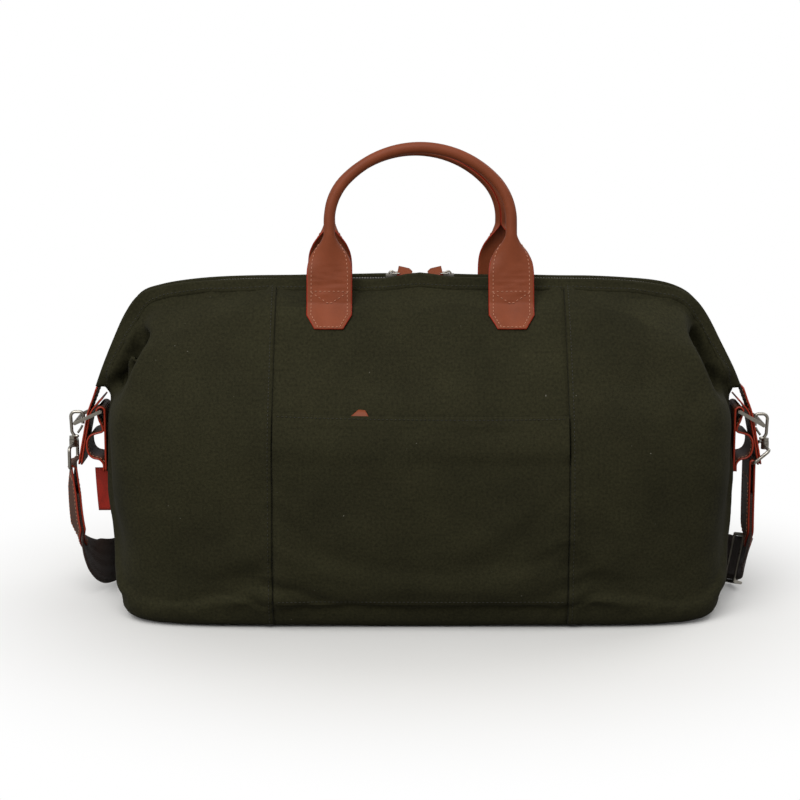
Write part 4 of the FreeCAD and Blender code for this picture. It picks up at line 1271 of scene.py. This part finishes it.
class BAG_OT_handles(bpy.types.Operator):
    """Roll the two leather handles up from their stitched tabs"""
    bl_idname = "bag.handles"
    bl_label = "Handles"

    def execute(self, context):
        for handle in (Handle("front", FRONT, 76.2, 388.5, 0.0, 9.0, 45.0),
                       Handle("rear", BACK, 73.5, 384.5, -4.0, 9.0, 50.0)):
            name, hinge = handle.name, handle.hinge
            stations, heights, tab = handle_stations(handle)

            def creases(number, t):
                """Fine creases where the flat leather bends up from the bag."""
                height = heights[number]
                window = smoothstep(-12, -3, height) * (1 - smoothstep(12, 24, height))
                place = Vector((t * 1.3, height * 0.42, 3.0 + 4.0 * (number > len(heights) / 2)))
                return 0.8 * MM * noise.noise(place) * window * (1 - t ** 4)

            leather = leather_strip(f"{name}_handle_leather", stations, sizes().handle_leather, "tan", 24,
                                    creases)
            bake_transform(leather)
            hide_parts(f"{name}_handle", f"{name}_handle_tabs")
            self.core(handle, stations)
            sewn = self.tab_lines(stations, heights, tab, handle) + self.tab_lines(
                stations[::-1], heights[::-1], tab, handle)
            thread = stitches(f"{name}_handle_stitching", sewn, "leather_thread", 2.2 * MM, 0.8 * MM)
            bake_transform(thread)
        return {"FINISHED"}

    def core(self, handle, stations):
        """Cotton cord that the leather is rolled round."""
        rings = []
        for station in stations:
            if station.roll < FULL_ROLL * 0.97:
                continue
            turns = [2 * math.pi * k / 12 for k in range(12)]
            wide, face = station.wide * CORE_RADIUS, station.face * CORE_RADIUS
            rings.append([station.centre + wide * math.cos(a) + face * math.sin(a) for a in turns])
        cord = section_loft(f"{handle.name}_handle_cotton_core", rings, [finish("cord")])
        outward(cord)
        settle(cord, f"{handle.name}_handle", "core_cord", f"{handle.name}_handle_core")

    def tab_lines(self, block, heights, tab, handle):
        """Stitches round a tab and up its leg, with the bar and V that take the load."""
        last = max(k for k in range(len(heights) // 2) if heights[k] < handle.roll_end - 8)
        outline = [edge_point(block[k], -1) for k in range(last, 0, -1)]
        outline += [edge_point(block[1], t / 4) for t in range(-3, 4)]
        outline += [edge_point(block[k], 1) for k in range(1, last + 1)]
        across = [at_height(block, BAR_HEIGHT, t / 4) for t in range(-4, 5)]
        vee = [at_height(block, BAR_HEIGHT - (1.5 + 9 * (1 - abs(t) / 4)) * MM, 0.95 * t / 4)
               for t in range(-4, 5)]
        return [outline, across, vee]


STITCH_INSET = 3.0 * MM
BAR_HEIGHT = 269.7 * MM          # height of the stitched bar across each tab


def at_height(block, z, t):
    """Point over the leather at a height, between the two stations either side of it."""
    k = next(k for k in range(len(block)) if block[k + 1].centre.z >= z)
    low, high = block[k].centre.z, block[k + 1].centre.z
    share = min(1.0, max(0.0, (z - low) / max(high - low, 1e-9)))
    return edge_point(block[k], t).lerp(edge_point(block[k + 1], t), share)


def edge_point(station, t):
    """Point just above the leather, with t = 1 at the stitch line inside the edge."""
    return station.at(t * (1 - STITCH_INSET / station.half), sizes().handle_leather / 2 + 0.2 * MM)


def keep_upright(stations):
    """Turn any station whose width points against its neighbour's."""
    for before, station in zip(stations, stations[1:]):
        if station.wide.dot(before.wide) < 0:
            station.wide = -station.wide


# ---- end hardware --------------------------------------------------------------------------------

LOOP_CLEAR = 2.52                # from the ring's bar to the leather round it, mm


def chape_line():
    """Middle of the end strap (mm): up the end, over the ring's bar, down and out into a keeper."""
    back = 269.1
    eye_x, eye_z = EYE.x / MM, EYE.z / MM
    reach = LOOP_CLEAR + 0.8
    points = [(back, 112.5), (back, 125), (back, 140), (back, 153)]
    for k in range(7):
        turn = math.pi - math.pi * k / 6
        points.append((eye_x + reach * math.cos(turn), eye_z + reach * math.sin(turn)))
    points += [(273.8, 157), (271.2, 151), (271.4, 147.2), (276.5, 145.6), (281.6, 143.6), (284.4, 139),
               (284.8, 133), (283.2, 127.4), (279.6, 124.2), (274.4, 122.8), (271.2, 119), (271.0, 112.5)]
    return through(points, 4)


# The ear strap's two layers (mm out from the middle and up), from the ear's tip down.
WING_OUTER = ((275.6, 185.0), (279.0, 175.5), (283.6, 163.0), (287.4, 145.0), (290.4, 130.0), (292.4, 118.4))
WING_INNER = ((271.4, 175.2), (276.2, 169.8), (281.2, 163.2), (284.6, 149.0), (287.9, 132.0), (290.3, 118.0))
WING_HALF = 17.0 * MM


def side_points(line, side):
    return [Vector((side * x, 0, z)) * MM for x, z in line]


def edge_stitch_lines(stations, rise, inset, skip=1):
    """Two lines of stitches inside a strip's long edges."""
    lines = []
    for t in (-1, 1):
        lines.append([s.at(t * (1 - inset / s.half), rise) for s in stations[skip:-skip or None]])
    return lines


class BAG_OT_end_hardware(bpy.types.Operator):
    """Make the sewn end straps, ear straps, rings, hooks and strap loops"""
    bl_idname = "bag.end_hardware"
    bl_label = "End hardware"

    def execute(self, context):
        half = sizes().strip_width / 2
        leather = sizes().leather
        for name, side in SIDES.items():
            stations = strip_stations(side_points(chape_line(), side), (0, 1, 0), half, -side)
            chape = leather_strip(f"{name}_end_strap_leather", stations, leather, "brown", 8)
            settle(chape, "bag", "leather_dark", f"{name}_chape")
            lines = edge_stitch_lines(stations[-46:], leather / 2 + 0.2 * MM, 3 * MM)
            for layer, route in (("outer", WING_OUTER), ("inner", WING_INNER)):
                line = side_points(through(route, 4), side)
                sheet = strip_stations(line, (0, 1, 0), WING_HALF, -side)
                part = leather_strip(f"{name}_ear_strap_{layer}", sheet, 1.5 * MM, "brown", 8)
                settle(part, "bag", "leather_dark", *([f"{name}_wing_strap"] if layer == "outer" else []))
                if layer == "outer":
                    lines += edge_stitch_lines(sheet, 0.95 * MM, 3 * MM)
            settle(stitches(f"{name}_end_stitching", lines, "leather_thread"), "bag", "leather_dark")
            polished(f"{name}_ring", 0.7 * MM)
            for part in ("hook_body", "hook_gate", "hook_swivel", "strap_loop"):
                polished(f"{name}_{part}", 0.0)
        return {"FINISHED"}


# ---- shoulder strap --------------------------------------------------------------------------------

# The webbing's route (m) and the direction of its width: down out of the left leather, twisting onto
# its edge, round the back of the bag and up to the right leather.
STRAP_ROUTE = (
    ((-0.2994, 0, 0.092), (-0.3, 0.95, 0)), ((-0.2985, 0, 0.060), (-0.35, 0.93, 0)),
    ((-0.291, 0.001, 0.040), (-0.1, 0.95, 0.3)), ((-0.280, 0.008, 0.026), (0.1, 0.6, 0.7)),
    ((-0.270, 0.030, 0.021), (0, 0, 1)), ((-0.266, 0.064, 0.020), (0, 0, 1)),
    ((-0.263, 0.104, 0.020), (0, 0, 1)), ((-0.238, 0.131, 0.020), (0, 0, 1)),
    ((-0.196, 0.139, 0.020), (0, 0, 1)), ((-0.136, 0.133, 0.020), (0, 0, 1)),
    ((-0.076, 0.129, 0.020), (0, 0, 1)), ((-0.018, 0.127, 0.020), (0, 0, 1)),
    ((0.042, 0.128, 0.020), (0, 0, 1)), ((0.100, 0.131, 0.020), (0, 0, 1)),
    ((0.156, 0.136, 0.020), (0, 0, 1)), ((0.206, 0.140, 0.020), (0, 0, 1)),
    ((0.244, 0.130, 0.020), (0, 0, 1)), ((0.264, 0.100, 0.020), (0, 0, 1)),
    ((0.268, 0.064, 0.020), (0, 0, 1)), ((0.277, 0.042, 0.021), (0.3, 0, 1)),
    ((0.287, 0.008, 0.028), (0.3, 0, 1)), ((0.2864, 0.001, 0.042), (0.2, 0.9, 0.5)),
    ((0.285, 0, 0.057), (0, 1, 0)), ((0.285, 0, 0.092), (0, 1, 0)),
)
LEATHER_REACH = 50 * MM          # how far each leather end runs down the webbing


def route_line():
    """Points read along the smooth line that the webbing's middle follows."""
    curve = bpy.data.curves.new("strap_line", "CURVE")
    curve.dimensions = "3D"
    spline = curve.splines.new("NURBS")
    spline.points.add(len(STRAP_ROUTE) - 1)
    for point, (place, _) in zip(spline.points, STRAP_ROUTE):
        point.co = (*place, 1.0)
    spline.order_u = 3
    spline.use_endpoint_u = True
    curve.resolution_u = 12
    holder = bpy.data.objects.new("strap_line", curve)
    bpy.context.scene.collection.objects.link(holder)
    graph = bpy.context.evaluated_depsgraph_get()
    mesh = bpy.data.meshes.new_from_object(holder.evaluated_get(graph), depsgraph=graph)
    line = [v.co.copy() for v in mesh.vertices]
    bpy.data.objects.remove(holder)
    return line


def travelled(line):
    lengths = [0.0]
    for a, b in zip(line, line[1:]):
        lengths.append(lengths[-1] + (b - a).length)
    return lengths


def width_directions(line):
    """The width's direction at each point of the line, blended from the route's nearest points."""
    nearest = [min(range(len(line)), key=lambda i: (line[i] - Vector(place)).length)
               for place, _ in STRAP_ROUTE]
    nearest[0], nearest[-1] = 0, len(line) - 1
    made = []
    for i in range(len(line)):
        span = max(k for k in range(len(nearest) - 1) if nearest[k] <= i)
        share = (i - nearest[span]) / max(1, nearest[span + 1] - nearest[span])
        wide = Vector(STRAP_ROUTE[span][1]).lerp(Vector(STRAP_ROUTE[span + 1][1]), share)
        run = run_at(line, i)
        made.append((wide - run * wide.dot(run)).normalized())
    return made


def ribbon_mesh(name, line, wides, half, thickness, material):
    """Flat woven strap with rounded selvedges, mapped in metres across and along."""
    columns = 8
    shares = [-1 + 2 * k / columns for k in range(columns + 1)]
    thick = thickness / 2
    loop = ([(t, thick) for t in shares] + [(1.03, 0.0)]
            + [(t, -thick) for t in reversed(shares)] + [(-1.03, 0.0)])
    lengths = travelled(line)
    count = len(loop)
    verts, uvs = [], []
    for i, (point, wide) in enumerate(zip(line, wides)):
        face = run_at(line, i).cross(wide)
        verts += [point + wide * (half * t) + face * rise for t, rise in loop]
    faces = skin_faces(len(line), count)
    for r in range(len(line) - 1):
        for k in range(count):
            j = (k + 1) % count
            uvs += [(half * loop[k][0], lengths[r]), (half * loop[j][0], lengths[r]),
                    (half * loop[j][0], lengths[r + 1]), (half * loop[k][0], lengths[r + 1])]
    for base, at in ((0, 0.0), ((len(line) - 1) * count, lengths[-1])):
        faces.append(tuple(base + k for k in range(count)))
        uvs += [(half * t, at) for t, _ in loop]
    obj = mesh_object(name, verts, faces, [finish(material)], uvs=uvs)
    outward(obj)
    return obj


class BAG_OT_shoulder_strap(bpy.types.Operator):
    """Lay the shoulder strap along its route, with its slider and leather ends"""
    bl_idname = "bag.shoulder_strap"
    bl_label = "Shoulder strap"

    def execute(self, context):
        line = route_line()
        wides = width_directions(line)
        strap = ribbon_mesh("shoulder_strap_webbing", line, wides, sizes().webbing_width / 2, sizes().webbing,
                            "webbing")
        settle(strap, "bag", "webbing", "strap_webbing")
        glide = polished("strap_slider", 0.6 * MM)
        going = [glide]
        for name, side in SIDES.items():
            going += self.leather_end(name, side, line, wides)
            going += [bpy.data.objects[f"{name}_{part}_finished"]
                      for part in ("hook_body", "hook_gate", "hook_swivel", "strap_loop")]
        return {"FINISHED"}

    def leather_end(self, name, side, line, wides):
        """Leather folded over the loop and sewn to both faces of the webbing, cut to a point."""
        low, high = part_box(f"{name}_strap_leather")
        top_x, top_z = (low.x + high.x) / 2, high.z - sizes().leather - 1.7 * MM
        along, across = (line, wides) if side == LEFT else (line[::-1], wides[::-1])
        lengths = travelled(along)
        below = [k for k in range(len(along)) if lengths[k] <= LEATHER_REACH]
        drop = [Vector((top_x, 0, top_z - (top_z - along[0].z) * k / 6)) for k in range(6)]
        middle = drop + [along[k] for k in below]
        ends = [across[k] if across[k].y > 0 else -across[k] for k in below]
        wide = [Vector((0, 1, 0)).lerp(ends[0], 0.5 + k / 12) for k in range(len(drop))] + ends
        total = travelled(middle)
        offset = sizes().leather / 2 + sizes().webbing / 2 + 0.15 * MM
        sheets = []
        for face_side in (1, -1):
            stations = []
            for i, point in enumerate(middle):
                run = run_at(middle, i)
                across_here = (wide[i] - run * wide[i].dot(run)).normalized()
                face = across_here.cross(run) * face_side
                left_over = total[-1] - total[i]
                half = sizes().strip_width / 2 * min(1.0, 0.25 + left_over / (17 * MM) * 0.75)
                stations.append(Station(point + face * offset, across_here, face, half))
            sheets.append(stations)
        turn = []
        for k in range(1, 8):
            angle = math.pi * k / 8
            outward_dir = sheets[0][0].face
            turn.append(Station(Vector((top_x, 0, top_z)) + outward_dir * (offset * math.cos(angle))
                                + Vector((0, 0, offset * math.sin(angle))), Vector((0, 1, 0)),
                                outward_dir * math.cos(angle) + Vector((0, 0, math.sin(angle))),
                                sizes().strip_width / 2))
        whole = sheets[0][::-1] + turn + sheets[1]
        piece = leather_strip(f"{name}_strap_end_leather", whole, sizes().leather, "brown", 10)
        settle(piece, "bag", "leather_dark", f"{name}_strap_leather")
        lines = []
        for stations in sheets:
            lines += edge_stitch_lines(stations[3:], sizes().leather / 2 + 0.2 * MM, 3 * MM)
            lines.append([stations[3].at(t / 4, sizes().leather / 2 + 0.2 * MM) for t in range(-3, 4)])
        thread = stitches(f"{name}_strap_end_stitching", lines, "leather_thread", 2.3 * MM, 0.8 * MM)
        settle(thread, "bag", "leather_dark")
        return [piece, thread]


# ---- tag and base board ----------------------------------------------------------------------------


class BAG_OT_trim(bpy.types.Operator):
    """Make the sewn-in tag and finish the base board"""
    bl_idname = "bag.trim"
    bl_label = "Tag and base board"

    def execute(self, context):
        low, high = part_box("label_tag")
        rows, columns = 14, 8
        verts = []
        for r in range(rows + 1):
            for c in range(columns + 1):
                z = low.z + (high.z - low.z) * r / rows
                x = high.x + 2 * MM + (low.x - high.x - 2 * MM) * c / columns
                bow = 1.6 * MM * math.sin(math.pi * r / rows) * c / columns
                verts.append(Vector((x - 0.06 * (z - low.z) * c / columns, -bow, z)))
        tag = mesh_object("red_tag", verts, sheet_faces(rows, columns), [finish("tag")])
        thick = tag.modifiers.new("thick", "SOLIDIFY")
        thick.thickness, thick.offset = 0.9 * MM, 0
        applied(tag)
        outward(tag)
        settle(tag, "bag", "tag_cloth", "label_tag")
        board = frame["nodes"]["base_board"].data
        board.materials.clear()
        board.materials.append(finish("board"))
        return {"FINISHED"}


# ---- stage -----------------------------------------------------------------------------------------

CAMERA_PLACE = (-0.017, -1.8, 0.50)
CAMERA_PITCH = math.radians(10.35)
CAMERA_LENS, SENSOR = 95.6, 36.0
FLOOR_REACH = 6.0
PANELS = {"key": ((-0.9, -1.5, 1.5), 7), "rim": ((1.2, 0.9, 1.4), 5)}      # place and watts
PANEL_SIZE = 0.9
LIT_POINT = Vector((0, 0, 0.15))


class BAG_OT_stage(bpy.types.Operator):
    """Set out the floor, the soft lights and the camera"""
    bl_idname = "bag.stage"
    bl_label = "Stage"

    def execute(self, context):
        scene = context.scene
        corners = [(FLOOR_REACH * x, FLOOR_REACH * y, 0) for x, y in ((-1, -1), (1, -1), (1, 1), (-1, 1))]
        floor = mesh_object("floor", corners, [(0, 1, 2, 3)], [finish("floor")])
        floor.location.z = -0.4 * MM
        sun = bpy.data.lights.new("window", "SUN")
        sun.energy, sun.angle = 1.5, math.radians(55)
        holder = bpy.data.objects.new("window", sun)
        holder.rotation_euler = (math.radians(32), math.radians(-14), 0)
        scene.collection.objects.link(holder)
        for name, (place, power) in PANELS.items():
            lamp = bpy.data.lights.new(name, "AREA")
            lamp.size, lamp.energy = PANEL_SIZE, power
            holder = bpy.data.objects.new(name, lamp)
            holder.location = place
            holder.rotation_euler = (LIT_POINT - Vector(place)).to_track_quat("-Z", "Y").to_euler()
            scene.collection.objects.link(holder)
        world = bpy.data.worlds.new("studio")
        world.use_nodes = True
        tree = world.node_tree
        sky = add(tree, "ShaderNodeBackground", {"Color": rgba(linear("f2f2f2")), "Strength": 0.5}).outputs[0]
        plain = add(tree, "ShaderNodeBackground", {"Color": (1, 1, 1, 1), "Strength": 1.0}).outputs[0]
        seen = add(tree, "ShaderNodeLightPath").outputs["Is Camera Ray"]
        both = add(tree, "ShaderNodeMixShader", {0: seen, 1: sky, 2: plain}).outputs[0]
        tree.links.new(both, tree.nodes["World Output"].inputs["Surface"])
        scene.world = world
        camera = bpy.data.cameras.new("camera")
        camera.lens, camera.sensor_width = CAMERA_LENS, SENSOR
        holder = bpy.data.objects.new("camera", camera)
        holder.location = CAMERA_PLACE
        holder.rotation_euler = (math.pi / 2 - CAMERA_PITCH, 0, 0)
        scene.collection.objects.link(holder)
        scene.camera = holder
        scene.view_settings.view_transform = "Standard"
        return {"FINISHED"}


# ---- add-on ----------------------------------------------------------------------------------------

OPERATORS = (BAG_OT_canvas_body, BAG_OT_front_pocket, BAG_OT_ridge_zip, BAG_OT_handles, BAG_OT_end_hardware,
             BAG_OT_shoulder_strap, BAG_OT_trim, BAG_OT_stage)


class BAG_PT_panel(bpy.types.Panel):
    """Bag pieces in the 3D view's sidebar"""
    bl_idname = "BAG_PT_panel"
    bl_label = "Weekender bag"
    bl_space_type = "VIEW_3D"
    bl_region_type = "UI"
    bl_category = "Bag"

    def draw(self, context):
        for group in (context.scene.bag_sizes, context.scene.bag_colours):
            for key in group.bl_rna.properties.keys():
                if key not in ("rna_type", "name"):
                    self.layout.prop(group, key)
        for operator in OPERATORS:
            self.layout.operator(operator.bl_idname)


CLASSES = (BagSizes, BagColours, *OPERATORS, BAG_PT_panel)


def register():
    for cls in CLASSES:
        bpy.utils.register_class(cls)
    bpy.types.Scene.bag_sizes = bpy.props.PointerProperty(type=BagSizes)
    bpy.types.Scene.bag_colours = bpy.props.PointerProperty(type=BagColours)


def unregister():
    del bpy.types.Scene.bag_sizes
    del bpy.types.Scene.bag_colours
    for cls in reversed(CLASSES):
        bpy.utils.unregister_class(cls)


def main():
    register()
    for operator in OPERATORS:
        group, name = operator.bl_idname.split(".")
        getattr(getattr(bpy.ops, group), name)()


if __name__ == "__main__":
    main()
